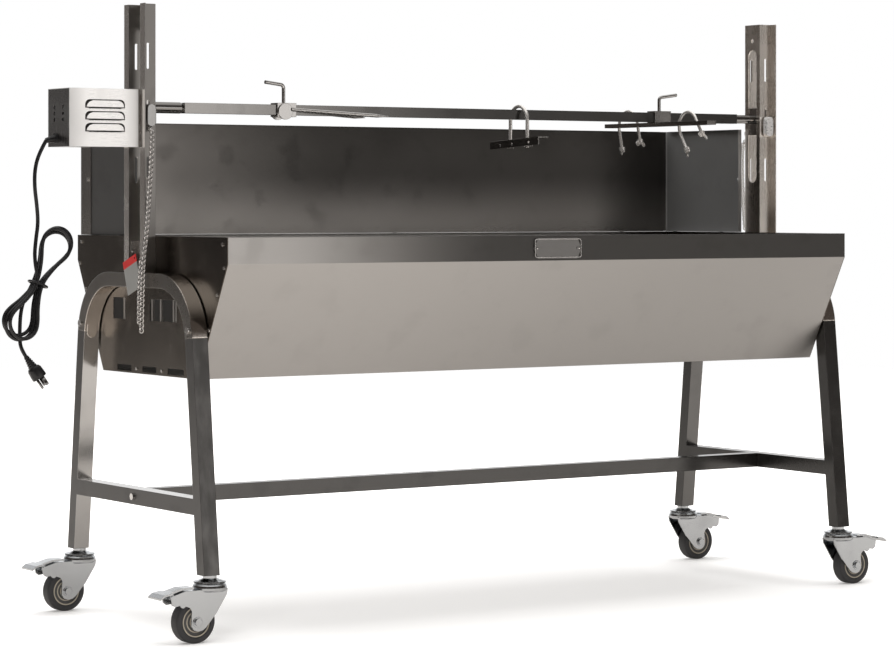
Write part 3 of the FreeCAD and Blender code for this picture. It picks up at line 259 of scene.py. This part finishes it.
def surface_normal(n, edge, relief, fine):
    """Softened edges with a fine bump on them."""
    soft = n.add("ShaderNodeBevel", {"Radius": edge}, samples=4)
    bump = n.add("ShaderNodeBump", {"Strength": relief, "Distance": BUMP_DEPTH, "Height": fine,
                                    "Normal": soft.outputs[0]})
    return bump.outputs[0]


def steel(name, level, roughness, grain="x", warmth=0.01, streak=0.10, stain=0.10, edge=0.0006, relief=0.06,
          tone=None, metal=1.0):
    """Brushed or drawn steel: fine grain along one axis, faint stains and handling marks, softened edges.

    tone may darken and roughen parts of the piece, the darkening being painted shade: it is called with the
    node helper and gives 0 to 1.
    """
    material, n = new_material(name)
    fine = n.noise(GRAIN_SCALE, 4, GRAINS[grain])
    broad = n.noise(STAIN_SCALE, 5)
    patch = n.ramp(n.noise(PATCH_SCALE, 6), 0.52, 0.72)
    fine_swing, broad_swing = n.minus(fine, 0.5), n.minus(broad, 0.5)
    value = n.plus(n.plus(n.times(fine_swing, 2 * streak), n.times(broad_swing, stain)), 1.0)
    value = n.minus(value, n.times(patch, stain * 0.5))
    rough = n.plus(n.plus(roughness, n.times(broad_swing, 0.14)), n.times(fine_swing, 0.10))
    rough = n.plus(rough, n.times(patch, 0.05))
    if tone:
        # Painted shade: the tone darkens the colour, and it roughens the surface as well.
        shade_and_roughening = tone(n)
        value = n.times(value, n.minus(1.0, n.times(shade_and_roughening, TONE_DARKENS)))
        rough = n.plus(rough, n.times(shade_and_roughening, TONE_ROUGHENS))
    colour = n.add("ShaderNodeVectorMath", {0: grey(level, warmth)[:3]}, operation="SCALE")
    n.feed(colour.inputs["Scale"], value)
    shader = n.add("ShaderNodeBsdfPrincipled", {"Base Color": colour.outputs[0], "Metallic": metal,
                                                "Roughness": n.math("MAXIMUM", rough, 0.05),
                                                "Normal": surface_normal(n, edge, relief, fine)})
    n.add("ShaderNodeOutputMaterial", {"Surface": shader.outputs[0]})
    return material


def coated(name, colour, roughness, grain_scale=60, relief=0.15, spread=0.12, layers=None):
    """Rubber, card or plastic with a fine surface; layers may repaint the colour."""
    material, n = new_material(name)
    fine = n.noise(grain_scale * 8, 4)
    broad = n.noise(grain_scale, 4)
    darker = [part * (1 - spread) for part in colour] + [1]
    lighter = [part * (1 + spread) for part in colour] + [1]
    tint = n.mix(broad, darker, lighter)
    if layers:
        tint = layers(n, tint)
    rough = n.plus(roughness, n.times(n.minus(broad, 0.5), 0.16))
    shader = n.add("ShaderNodeBsdfPrincipled", {"Base Color": tint, "Roughness": rough,
                                                "Normal": surface_normal(n, 0.0006, relief, fine)})
    n.add("ShaderNodeOutputMaterial", {"Surface": shader.outputs[0]})
    return material


# ---- where painted shade and colour change over a piece, in metres --------------------------------

FRONT_LEG = -0.165
RIM_LOW, INSIDE_SHADE_TOP, RIM_FACE = 0.648, 0.645, -0.2832
MOTOR_MIDDLE = -0.770
JOURNAL_START = 0.6703
WING_SEAM = 0.276
HUB_EDGE = 0.0265
HUB_RINGS = ((0.0250, 0.0011), (0.0175, 0.0010), (0.0120, 0.0011))
TAG_TOP = (0.01525, 0.655)
TAG_LEAN = math.radians(19)
TAG_HEAD = 0.0135


def facing(n, axis):
    """Part of the true surface direction along one axis."""
    normal = n.add("ShaderNodeNewGeometry").outputs["True Normal"]
    return n.add("ShaderNodeSeparateXYZ", {0: normal}).outputs[axis]


def shade_on_left_faces(n, tone, start=-0.8):
    """Painted shade of the given strength on the faces turned to the left end, and none on the others."""
    return n.ramp(facing(n, "X"), start, -0.6, tone, 0.0)


def left_leg_painted_shade(n):
    """Painted shade on the front leg's front faces, in random streaks, and on faces turned to the left end.
    """
    front_leg = n.ramp(n.part("Y"), FRONT_LEG - 0.005, FRONT_LEG + 0.005, 1.0, 0.0)
    front_face = n.ramp(facing(n, "Y"), -0.8, -0.6, 1.0, 0.0)
    marks = n.ramp(n.noise(40, 5, (1, 1, 0.35)), 0.35, 0.75, 0.94, 0.78)
    return n.math("MAXIMUM", n.times(n.times(front_leg, front_face), marks), shade_on_left_faces(n, 0.90))


# Painted shade on the right-hand frame's faces turned to the left end.
def right_leg_painted_shade(n):
    return shade_on_left_faces(n, 0.55)


def left_post_painted_shade(n):
    """Painted shade, with added roughness, on the faces turned front and back; the channel's web gets none.
    """
    return n.ramp(n.math("ABSOLUTE", facing(n, "Y")), 0.6, 0.8, 0.0, 0.80)


def trough_painted_shade(n):
    """Painted reflection darkens the rolled rim towards the right; painted shade darkens the inside and the
    right.
    """
    rim = n.ramp(n.part("Z"), RIM_LOW - 0.0005, RIM_LOW + 0.001)
    outside = n.ramp(n.part("Y"), RIM_FACE - 0.0002, RIM_FACE + 0.0002, 1.0, 0.0)
    rim = n.times(n.times(rim, outside), n.ramp(n.part("X"), -0.62, -0.10, 0.0, 0.93))
    inwards = n.times(facing(n, "Y"), n.math("SIGN", n.part("Y")))
    inside = n.math("MAXIMUM", n.ramp(inwards, -0.35, -0.25, 1.0, 0.0), n.ramp(facing(n, "Z"), 0.7, 0.9))
    inside_shade = n.times(inside, n.ramp(n.part("Z"), INSIDE_SHADE_TOP - 0.015, INSIDE_SHADE_TOP, 0.92, 0.1))
    shaded = n.ramp(n.part("X"), -0.6, 0.6, 0.0, 0.30)
    return n.math("MAXIMUM", n.math("MAXIMUM", rim, inside_shade), shaded)


def guard_painted_shade(n):
    """Painted shade on the guard, more towards its top and its right; its faces turned to the left end get
    none.
    """
    up = n.ramp(n.part("Z"), 0.68, 0.82, 0.05, 0.88)
    guard_shade = n.times(up, n.ramp(n.part("X"), -0.6, -0.1, 0.45, 1.0))
    return n.times(guard_shade, n.ramp(facing(n, "X"), -0.9, -0.7))


def shaded_edges(n):
    """Painted shade: the motor cover's front darkens towards its edges; its top and ends are darker still.
    """
    front = n.ramp(n.math("ABSOLUTE", facing(n, "Y")), 0.7, 0.9)
    from_middle = n.math("ABSOLUTE", n.minus(n.part("X"), MOTOR_MIDDLE))
    edges = n.times(front, n.ramp(from_middle, 0.030, 0.075, 0.0, 0.35))
    return n.plus(edges, n.minus(0.75, n.times(front, 0.75)))


def wing_painted_shade(n):
    """Painted shade over the wings, most on the motor's side and on left-hand faces; faint past the rear
    seam.
    """
    tone = n.plus(shade_on_left_faces(n, 0.12), n.ramp(n.part("X"), -0.6, 0.6, 0.90, 0.50))
    return n.times(tone, n.ramp(n.part("Y"), WING_SEAM - 0.001, WING_SEAM + 0.001, 1.0, 0.2))


def spit_painted_shade(n):
    """Painted shade: the square bar darkens away from the motor end; the round journal stays bright."""
    shade_away_from_motor = n.ramp(n.part("X"), -0.60, 0.10, 0.0, 0.80)
    return n.times(shade_away_from_motor, n.ramp(n.part("X"), JOURNAL_START, JOURNAL_START + 0.001, 1.0, 0.0))


def arch_painted_shade(n):
    """Painted shade, with roughness, on the arches' flat faces turned left; the rounded shoulders keep the
    shine.
    """
    return shade_on_left_faces(n, 0.88, -0.9)


def wheel_rings(n, tint):
    """Pale rings moulded on the hub, by distance from the wheel's axis."""
    place = n.add("ShaderNodeTexCoord").outputs["Object"]
    flat = n.add("ShaderNodeVectorMath", {0: place, 1: (1, 0, 1)}, operation="MULTIPLY").outputs[0]
    radius = n.add("ShaderNodeVectorMath", {0: flat}, operation="LENGTH").outputs["Value"]
    hub = n.ramp(radius, HUB_EDGE - 0.0003, HUB_EDGE + 0.0003, 1.0, 0.0)
    tint = n.mix(hub, tint, grey(0.085, 0.02))
    for middle, half in HUB_RINGS:
        away = n.math("ABSOLUTE", n.minus(radius, middle))
        ring = n.ramp(away, half * 0.7, half * 1.3, 1.0, 0.0)
        tint = n.mix(ring, tint, (0.52, 0.47, 0.38, 1))
    return tint


def tag_colours(n, tint):
    """Red head above a pale grey card."""
    top_y, top_z = TAG_TOP
    down = n.plus(n.times(n.minus(top_z, n.part("Z")), math.cos(TAG_LEAN)),
                  n.times(n.minus(top_y, n.part("Y")), math.sin(TAG_LEAN)))
    head = n.ramp(down, TAG_HEAD, TAG_HEAD + 0.0007, 1.0, 0.0)
    return n.mix(head, tint, (0.62, 0.02, 0.02, 1))


# ---- finishes -------------------------------------------------------------------------------------

STEELS = {
    "trough_sheet": dict(level=0.50, roughness=0.32, grain="x", warmth=0.030, streak=0.04, stain=0.06,
                         edge=0.0012, tone=trough_painted_shade),
    # Painted shade: the end sheet is given a dark level, as the end panels stand in the shade of the legs
    # and arches.
    "end_sheet": dict(level=0.15, roughness=0.20, grain="y", warmth=0.12, streak=0.06, stain=0.16),
    "guard_sheet": dict(level=0.34, roughness=0.27, grain="x", warmth=0.05, streak=0.04, stain=0.10,
                        tone=guard_painted_shade),
    "badge": dict(level=0.26, roughness=0.34, grain="x", warmth=0.02, streak=0.05, stain=0.10,
                  relief=0.3),
    "grate_steel": dict(level=0.72, roughness=0.42, grain="none", warmth=0.05, streak=0.16, stain=0.3,
                        metal=0.5),
    "fasteners": dict(level=0.74, roughness=0.20, grain="none", warmth=0.02, streak=0.10, stain=0.2),
    "post_steel": dict(level=0.95, roughness=0.28, grain="z", warmth=0.06, streak=0.05, stain=0.06),
    "arch_tube": dict(level=0.86, roughness=0.14, grain="none", warmth=0.07, streak=0.05, stain=0.16,
                      edge=0.003, tone=arch_painted_shade),
    # Painted shade: a dark level for the right-hand frame; the left legs get a lighter copy below.
    "frame_tube": dict(level=0.17, roughness=0.20, grain="z", warmth=0.02, streak=0.05, stain=0.12,
                       edge=0.0016, tone=right_leg_painted_shade),
    "caster_zinc": dict(level=0.60, roughness=0.20, grain="none", warmth=-0.035, streak=0.08,
                        stain=0.14, edge=0.0009),
    "pedal_steel": dict(level=0.60, roughness=0.22, grain="none", warmth=-0.030, streak=0.08,
                        stain=0.16),
    "motor_sheet": dict(level=0.98, roughness=0.28, grain="x", warmth=0.01, streak=0.04, stain=0.05,
                        edge=0.0012, tone=shaded_edges, metal=0.3),
    "carriage_steel": dict(level=0.60, roughness=0.24, grain="z", warmth=0.02, streak=0.08, stain=0.12),
    "motor_metal": dict(level=0.92, roughness=0.28, grain="none", warmth=0.0, streak=0.08, stain=0.15,
                        metal=0.75),
    # Painted shadow: a dark level for the left knob, which stands in shadow; the right knob gets a light
    # copy.
    "knob_metal": dict(level=0.30, roughness=0.18, grain="none", warmth=0.01, streak=0.05, stain=0.12,
                       edge=0.0016),
    "chain_metal": dict(level=0.88, roughness=0.18, grain="none", warmth=0.02, streak=0.05, stain=0.10),
    "spit_steel": dict(level=0.30, roughness=0.18, grain="x", warmth=0.03, streak=0.08, stain=0.14,
                       edge=0.0010, tone=spit_painted_shade),
    "clamp_steel": dict(level=0.55, roughness=0.18, grain="none", warmth=0.02, streak=0.08, stain=0.18,
                        edge=0.0010),
    "bolt_steel": dict(level=0.88, roughness=0.20, grain="none", warmth=0.03, streak=0.06, stain=0.10,
                       metal=0.75),
}
COATINGS = {
    "caster_rubber": dict(colour=(0.045, 0.045, 0.048), roughness=0.50, grain_scale=50, relief=0.25,
                          spread=0.2, layers=wheel_rings),
    "tag_card": dict(colour=(0.30, 0.30, 0.29), roughness=0.35, grain_scale=40, relief=0.08,
                     spread=0.06, layers=tag_colours),
    "cord_rubber": dict(colour=(0.010, 0.010, 0.011), roughness=0.32, grain_scale=70, relief=0.12,
                        spread=0.2),
}
FINISHES = {name: steel(name, **settings) for name, settings in STEELS.items()}
FINISHES.update({name: coated(name, **settings) for name, settings in COATINGS.items()})

# Pieces whose look differs from the rest of their material, several of them copies for painted shade.
# Lighter copy of the frame's tube steel for the left legs, with painted shade on some faces.
LEFT_LEGS = steel("left_legs", level=0.56, roughness=0.20, grain="z", warmth=0.02, streak=0.05, stain=0.12,
                  edge=0.0016, tone=left_leg_painted_shade)
LEFT_POST = steel("left_post", level=0.94, roughness=0.24, grain="z", warmth=0.04, streak=0.05, stain=0.08,
                  tone=left_post_painted_shade)
# Darker copy of the frame's tube steel for the long stretcher: painted shade.
CROSS_TUBE_SHADED = steel("cross_tube", level=0.12, roughness=0.20, grain="x", warmth=0.02, streak=0.05,
                   stain=0.12, edge=0.0016)
WING_SHEET = steel("wing_sheet", level=0.72, roughness=0.36, grain="z", warmth=0.01, streak=0.06,
                   stain=0.12, tone=wing_painted_shade, metal=0.7)
GRATE_HANGERS = steel("grate_hangers", level=0.42, roughness=0.40, grain="z", warmth=0.04, streak=0.10,
                      stain=0.2)
# Light copy of the knob steel for the right knob, which is not in shadow.
RIGHT_KNOB = steel("right_knob", level=0.92, roughness=0.30, grain="none", warmth=0.01, streak=0.05,
                   stain=0.12, edge=0.0016, metal=0.6)
# Darker copy of the motor cover's steel for its end cover: painted shade.
MOTOR_END_SHADED = steel("motor_end", level=0.30, roughness=0.24, grain="z", warmth=0.01, streak=0.05, stain=0.10)
SHADOW_GAP = coated("shadow_gap", colour=(0.012, 0.011, 0.010), roughness=0.8)

SPECIAL_FINISHES = {"leg_frame_left": LEFT_LEGS, "post_left": LEFT_POST, "long_stretcher": CROSS_TUBE_SHADED,
                    "windguard_left": WING_SHEET, "windguard_right": WING_SHEET,
                    "motor_end_cover": MOTOR_END_SHADED, "knob_right": RIGHT_KNOB,
                    "grate_hangers": GRATE_HANGERS}

for subpart in frame["record"]["subparts"]:
    name = subpart["node"]
    node = nodes[name]
    node.data.materials.clear()
    node.data.materials.append(SPECIAL_FINISHES.get(name, FINISHES[subpart["material_slot"]]))


# ---- power cord -----------------------------------------------------------------------------------

CORD_RADIUS = 3.4
GLAND_END = (-883, 30, 864)
DOWN_FROM_BOX = [(-896, 31, 842), (-905, 30, 814), (-906, 29, 782), (-901, 30, 750), (-898, 31, 718),
                 (-903, 30, 690), (-909, 24, 655)]
TAIL = [(-931, 38, 516), (-929, 34, 495), (-918, 30, 478)]
TIE = Vector((-899, 30, 611))
HANK_AXIS = Vector((0.467, 0, 0.884))
HANK_ACROSS = Vector((0.884, 0, -0.467))
FOLD_RADIUS, LOWER_FOLD, UPPER_FOLD = 29, -76, 79
TURN_PITCH = 7.0
TURN_SIZES = (0.98, 1.02, 0.96)
TURN_FAN = 0.006


def hank_place(along, across, offset):
    """A place in the hank; the turns fan out slightly as they stack from front to rear."""
    fan = TURN_FAN * offset * along
    return TIE + HANK_AXIS * along + HANK_ACROSS * (across + fan) + Vector((0, offset, 0))


def half_circle(middle, radius, turn):
    """Points along and across the hank around one of its folds; turn is -1 at the lower fold."""
    points = []
    for degrees in range(-18, 199, 36):
        angle = math.radians(degrees)
        points.append((middle + turn * radius * math.sin(angle), turn * radius * math.cos(angle)))
    return points


def hank_route():
    """Down one side, round the lower fold, up the other side and round the upper one, for each turn."""
    route = []
    for turn, size in enumerate(TURN_SIZES):
        lower = [(along * size, across) for along, across in half_circle(LOWER_FOLD, FOLD_RADIUS, -1)]
        upper = [(along * size, across) for along, across in half_circle(UPPER_FOLD, FOLD_RADIUS, 1)]
        lap = [(0, -3), (-36, -13)] + lower + [(-36, 13), (0, 3), (38, 13)] + upper + [(38, -13)]
        for step, (along, across) in enumerate(lap):
            route.append(hank_place(along, across, TURN_PITCH * (turn - 1.5 + step / len(lap))))
    last_offset = 1.5 * TURN_PITCH
    return route + [hank_place(0, -4, last_offset), hank_place(-45, -5, last_offset)]


def make_cord():
    route = [GLAND_END] + DOWN_FROM_BOX + hank_route() + TAIL
    curve = bpy.data.curves.new("power_cord_visible", "CURVE")
    curve.dimensions = "3D"
    curve.bevel_depth = CORD_RADIUS / 1000
    curve.bevel_resolution = 5
    curve.resolution_u = 10
    curve.use_fill_caps = True
    spline = curve.splines.new("NURBS")
    spline.points.add(len(route) - 1)
    for point, place in zip(spline.points, route):
        point.co = (*at(*place), 1)
    spline.order_u = 3
    spline.use_endpoint_u = True
    cord = bpy.data.objects.new("power_cord_visible", curve)
    bpy.context.scene.collection.objects.link(cord)
    finish_piece(cord, FINISHES["cord_rubber"], "motor_carriage")
    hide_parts("power_cord", "cord_hank")
    return cord


def make_plug():
    """Moulded plug: ribbed boot, rounded body, two blades and a round ground pin."""
    end, heading = at(*TAIL[-1]), Vector((10, -3, -16)).normalized()
    boot = [(-7, 3.6, 3.6), (-6, 4.4, 4.4)]
    for rib in range(5):
        wide = 4.6 + rib * 0.75
        boot += [(-5 + rib * 4.2, wide - 0.8, wide - 0.8), (-4.4 + rib * 4.2, wide, wide),
                 (-2.2 + rib * 4.2, wide, wide), (-1.6 + rib * 4.2, wide - 0.8, wide - 0.8)]
    body = [(15.5, 8.6, 8.4), (17, 9.6, 10.5), (21, 10.2, 12.4), (31, 10.4, 13.2), (36.5, 10.2, 13.2),
            (38, 9.6, 12.6)]
    plug = loft("plug_body", boot + body, end, heading, (0, 1, 0))
    plug.data.set_sharp_from_angle(angle=math.radians(40))
    finish_piece(plug, FINISHES["cord_rubber"], "motor_carriage")
    depth = heading.cross(Vector((0, 1, 0))).normalized()
    width = depth.cross(heading)
    blade = [(37, 0.75, 3.15), (53, 0.75, 3.15), (55, 0.5, 2.5)]
    ground_pin = [(37, 2.4, 2.4), (55, 2.4, 2.4), (57, 1.4, 1.4)]
    prongs = [(width * -6.35 + depth * 3, blade, 8), (width * 6.35 + depth * 3, blade, 8),
              (depth * -6, ground_pin, 2)]
    for index, (offset, sections, power) in enumerate(prongs):
        prong = loft(f"plug_prong_{index}", sections, end + offset / 1000, heading, (0, 1, 0), 16, power)
        finish_piece(prong, FINISHES["knob_metal"], "motor_carriage")
        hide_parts("power_plug")
    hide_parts("power_plug")
    return plug


cord = make_cord()
plug = make_plug()


# ---- chains ---------------------------------------------------------------------------------------

LINK_LENGTH, LINK_WIDTH, LINK_WIRE, LINK_PITCH = 11.4, 10.2, 2.1, 4.5
RING_SIZE, RING_WIRE = 19, 2.6
LINK_STEPS, WIRE_STEPS = 14, 6


def smooth_point(before, start, end, after, t):
    """Place at t from 0 to 1 between start and end, on the smooth line through all four points."""
    slope = end - before
    bend = 2 * before - 5 * start + 4 * end - after
    twist = 3 * start - before - 3 * end + after
    return 0.5 * (2 * start + slope * t + bend * t ** 2 + twist * t ** 3)


def along_route(route, spacing):
    """Evenly spaced places and directions on a smooth line through the route's points."""
    dense = []
    for index in range(len(route) - 1):
        before = route[max(index - 1, 0)]
        start, end = route[index], route[index + 1]
        after = route[min(index + 2, len(route) - 1)]
        dense += [smooth_point(before, start, end, after, step / 40) for step in range(40)]
    dense.append(route[-1])
    places, travelled = [], 0.0
    for start, end in zip(dense, dense[1:]):
        run = (end - start).length
        while travelled <= run:
            places.append((start.lerp(end, travelled / run if run else 0), (end - start).normalized()))
            travelled += spacing
        travelled -= run
    return places


def link_ring(place, direction, roll, length, width, wire):
    """One oval chain link: points of a closed rounded wire."""
    side = direction.orthogonal().normalized()
    side.rotate(Matrix.Rotation(roll, 3, direction))
    normal = direction.cross(side)
    straight = (length - width) / 2
    points = []
    radius = (width - wire) / 2
    for step in range(LINK_STEPS):
        angle = 2 * math.pi * step / LINK_STEPS
        along = straight * math.copysign(1, math.cos(angle)) + radius * math.cos(angle)
        centre = direction * along + side * radius * math.sin(angle)
        outward = direction * math.cos(angle) + side * math.sin(angle)
        for turn in range(WIRE_STEPS):
            bend = 2 * math.pi * turn / WIRE_STEPS
            around_wire = (outward * math.cos(bend) + normal * math.sin(bend)) * wire / 2
            points.append(place + (centre + around_wire) / 1000)
    return points


def ring_faces(first):
    """Quads of one link whose points start at the given index."""
    faces = []
    for step in range(LINK_STEPS):
        here, there = first + step * WIRE_STEPS, first + (step + 1) % LINK_STEPS * WIRE_STEPS
        for turn in range(WIRE_STEPS):
            following = (turn + 1) % WIRE_STEPS
            faces.append((here + turn, here + following, there + following, there + turn))
    return faces


def make_chain(name, routes, body, node, eye):
    """Fine twisted chain: each link turned against the last; eye is the ring on the carriage's screw."""
    points, faces = [], []
    for route in routes:
        for index, (place, direction) in enumerate(along_route([Vector(p) for p in route], LINK_PITCH)):
            roll = math.radians(100 if index % 2 else 20)
            faces += ring_faces(len(points))
            points += link_ring(at(*place), direction, roll, LINK_LENGTH, LINK_WIDTH, LINK_WIRE)
    faces += ring_faces(len(points))
    ring_width = RING_SIZE - 0.6
    points += link_ring(at(*eye), Vector((0, 0, 1)), math.radians(90), RING_SIZE, ring_width, RING_WIRE)
    chain = mesh_object(name, points, faces)
    finish_piece(chain, FINISHES["chain_metal"], body)
    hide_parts(node)


LEFT_CHAIN = [(-709, -26, 898), (-709.5, -28, 886), (-712, -44, 868), (-725, -50, 715), (-734, -52, 640),
              (-735, -48, 526)]
LEFT_CHAIN_END = [(-733.5, -44, 652), (-735.5, -42, 600), (-736, -41, 540)]
RIGHT_CHAIN = [(709, 26, 898), (708, 29, 886), (704, 44, 868), (706, 48, 800), (713, 46, 700)]

make_chain("chain_left_links", [LEFT_CHAIN, LEFT_CHAIN_END], "motor_carriage", "chain_left",
           eye=(-707, -27.5, 897))
make_chain("chain_right_links", [RIGHT_CHAIN], "bearing_carriage", "chain_right", eye=(707, 27.5, 897))


# ---- casters --------------------------------------------------------------------------------------

STEM_X, STEM_Y, TRAIL, WHEEL_RADIUS = 708.5, 248.5, 33, 37.5
WHEEL_HALF = [(-11, 8), (-12.6, 10), (-12.6, 14.5), (-11.2, 16), (-11.2, 22.5), (-12.4, 24), (-12.4, 26.4),
              (-11.8, 27), (-13, 28.5), (-13, 33.5), (-12.2, 35.8), (-10, 37.3), (-8, 37.5)]
WHEEL_PROFILE = WHEEL_HALF + [(-distance, radius) for distance, radius in reversed(WHEEL_HALF)]

for face, face_sign in (("front", -1), ("rear", 1)):
    for end, end_sign in (("left", -1), ("right", 1)):
        corner = f"{face}_{end}"
        centre = at(end_sign * (STEM_X + TRAIL), face_sign * STEM_Y, WHEEL_RADIUS)
        wheel = lathe(f"wheel_{corner}_turned", WHEEL_PROFILE, centre, (0, 1, 0))
        finish_piece(wheel, FINISHES["caster_rubber"], f"wheel_{corner}")
        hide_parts(f"caster_wheel_{corner}")


# ---- trim on the legs, the motor box and the name plate -------------------------------------------

LEG_X, LEG_LEAN = 711.25, math.tan(math.radians(6))
LEG_FOOT_INNER, LEG_FOOT_LEVEL, TONGUE_LEVEL = 235.4, 114.5, 533
LOUVER_MIDDLE_X, LOUVER_LEVELS = -794, (881.5, 902.3, 923.1)
BADGE_EDGE, RIM_WIDTH, RIM_LIFT = 1.5, 1.5, 0.7


def make_leg_tongues():
    """Rounded ends of the arch tube's liner, showing on each leg's inner face."""
    inner = LEG_FOOT_INNER - (TONGUE_LEVEL - LEG_FOOT_LEVEL) * LEG_LEAN
    outline = rounded_outline(-10.5, 10.5, -27, 12, 10.4, ("ll", "lr"))
    for end, end_sign in (("left", -1), ("right", 1)):
        for face, face_sign in (("front", -1), ("rear", 1)):
            origin = at(end_sign * LEG_X, face_sign * inner, TONGUE_LEVEL)
            up = (0, -face_sign * LEG_LEAN, 1)
            tongue = plate(f"tongue_{end}_{face}", outline, origin, (face_sign, 0, 0), up, 1.2)
            finish_piece(tongue, FINISHES["arch_tube"], "stand")


def make_louver_shadows():
    """Painted shade: dark plates behind the motor cover's pressed louvers, front and rear, as a dark line
    round each.
    """
    outline = rounded_outline(-39, 39, -1.6, 13.4, 9, ("ul", "ur"))
    for name, sheet_y, across in (("front", -22.35, 1), ("rear", 60.35, -1)):
        for index, level in enumerate(LOUVER_LEVELS):
            origin = at(LOUVER_MIDDLE_X, sheet_y, level)
            gap = plate(f"louver_shadow_{name}_{index}", outline, origin, (across, 0, 0), (0, 0, 1), 1.0)
            finish_piece(gap, SHADOW_GAP, "motor_carriage")


def make_badge_rim():
    """Raised border and two rivets on the blank name plate."""
    low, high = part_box("name_plate")
    middle = (Vector(low) + Vector(high)) / 2
    half_x, half_z = (high[0] - low[0]) * 500, (high[2] - low[2]) * 500
    outer_x, outer_z = half_x - BADGE_EDGE, half_z - BADGE_EDGE
    inner_x, inner_z = outer_x - RIM_WIDTH, outer_z - RIM_WIDTH
    outer = rounded_outline(-outer_x, outer_x, -outer_z, outer_z, 5)
    inner = rounded_outline(-inner_x, inner_x, -inner_z, inner_z, 3.8)
    front = Vector((middle.x, low[1], middle.z))
    points = []
    for outline, lift in ((outer, 0), (outer, RIM_LIFT), (inner, RIM_LIFT), (inner, 0)):
        points += [front + Vector((x, -lift, z)) / 1000 for x, z in outline]
    rim = mesh_object("badge_rim", points, tube_faces(4, len(outer), closed_ends=False), smooth=False)
    finish_piece(rim, FINISHES["fasteners"], "stand")
    rivet_profile = [(0, 1.9), (0.5, 1.8), (0.9, 1.1), (1.0, 0.2)]
    for turn in (-1, 1):
        place = front + Vector((turn * (half_x - 6.5), 0, 0)) / 1000
        rivet = lathe(f"badge_rivet_{turn}", rivet_profile, place, (0, -1, 0), around=20)
        finish_piece(rivet, FINISHES["fasteners"], "stand")


make_leg_tongues()
make_louver_shadows()
make_badge_rim()


# ---- light and floor ------------------------------------------------------------------------------

TOWARDS_BACKDROP = (0.5518, 0.8340, 0)
TOWARDS_PANEL = (0.3746, -0.9272, 0.01)
WARM_ROOM, ROOM_CEILING = (0.055, 0.046, 0.040, 1), (0.95, 0.93, 0.90, 1)
PANEL_LIGHT, BACKDROP_WHITE = (1.7, 1.65, 1.60, 1), (1.0, 1.0, 1.0, 1)
FLOOR_UNSEEN, FLOOR_SEEN = (0.56, 0.53, 0.50, 1), (0.93, 0.93, 0.93, 1)
FLOOR_REACH = 9


def make_world():
    """White backdrop behind the machine; dim warm studio before it, with a soft light at its left."""
    world = bpy.data.worlds.new("studio")
    world.use_nodes = True
    n = Nodes(world.node_tree)
    direction = n.add("ShaderNodeTexCoord").outputs["Generated"]
    facing = n.add("ShaderNodeVectorMath", {0: direction, 1: TOWARDS_BACKDROP}, operation="DOT_PRODUCT")
    backdrop = n.ramp(facing.outputs["Value"], 0.45, 0.93)
    towards_panel = n.add("ShaderNodeVectorMath", {0: direction, 1: TOWARDS_PANEL}, operation="DOT_PRODUCT")
    panel = n.ramp(towards_panel.outputs["Value"], 0.968, 0.999)
    height = n.add("ShaderNodeSeparateXYZ", {0: direction}).outputs["Z"]
    room = n.mix(n.ramp(height, 0.55, 0.95), WARM_ROOM, ROOM_CEILING)
    room = n.mix(panel, room, PANEL_LIGHT)
    colour = n.mix(backdrop, room, BACKDROP_WHITE)
    background = n.add("ShaderNodeBackground", {"Color": colour, "Strength": 1.0})
    n.add("ShaderNodeOutputWorld", {"Surface": background.outputs[0]})
    bpy.context.scene.world = world


def area_light(name, place, target, size, power):
    """Rectangular light that the shiny finishes don't mirror."""
    data = bpy.data.lights.new(name, "AREA")
    data.shape = "RECTANGLE"
    data.size, data.size_y = size
    data.energy = power
    light = bpy.data.objects.new(name, data)
    light.visible_glossy = False
    light.location = place
    light.rotation_euler = (Vector(target) - Vector(place)).to_track_quat("-Z", "Y").to_euler()
    bpy.context.scene.collection.objects.link(light)


def make_floor():
    """Pale floor, lit evenly all round the machine and running out into the backdrop."""
    corners = [(x * FLOOR_REACH, y * FLOOR_REACH, 0) for x, y in ((-1, -1), (1, -1), (1, 1), (-1, 1))]
    floor = mesh_object("floor", corners, [(0, 1, 2, 3)], smooth=False)
    material, n = new_material("floor")
    place = n.add("ShaderNodeTexCoord").outputs["Object"]
    away = n.add("ShaderNodeVectorMath", {0: place}, operation="LENGTH").outputs["Value"]
    seen = n.add("ShaderNodeLightPath").outputs["Is Camera Ray"]
    glow = n.math("MULTIPLY", n.ramp(away, 0.8, 2.6, 0.22, 0.85), n.ramp(seen, 0, 1, 0.40, 1.0))
    tint = n.mix(seen, FLOOR_UNSEEN, FLOOR_SEEN)
    shader = n.add("ShaderNodeBsdfPrincipled",
                   {"Base Color": tint, "Roughness": 0.75,
                    "Emission Color": (1, 0.97, 0.94, 1), "Emission Strength": glow})
    clear = n.add("ShaderNodeBsdfTransparent")
    fade = n.ramp(away, 6.0, 8.5)
    blend = n.add("ShaderNodeMixShader", {0: fade, 1: shader.outputs[0], 2: clear.outputs[0]})
    n.add("ShaderNodeOutputMaterial", {"Surface": blend.outputs[0]})
    floor.data.materials.append(material)


make_world()
make_floor()
area_light("overhead", (0, 0.3, 3.6), (0, 0, 0.3), (4.5, 4.5), 190)
area_light("front_left", (-3.4, -3.4, 2.6), (0, 0, 0.5), (1.6, 2.2), 60)
bpy.context.scene.view_settings.view_transform = "Standard"
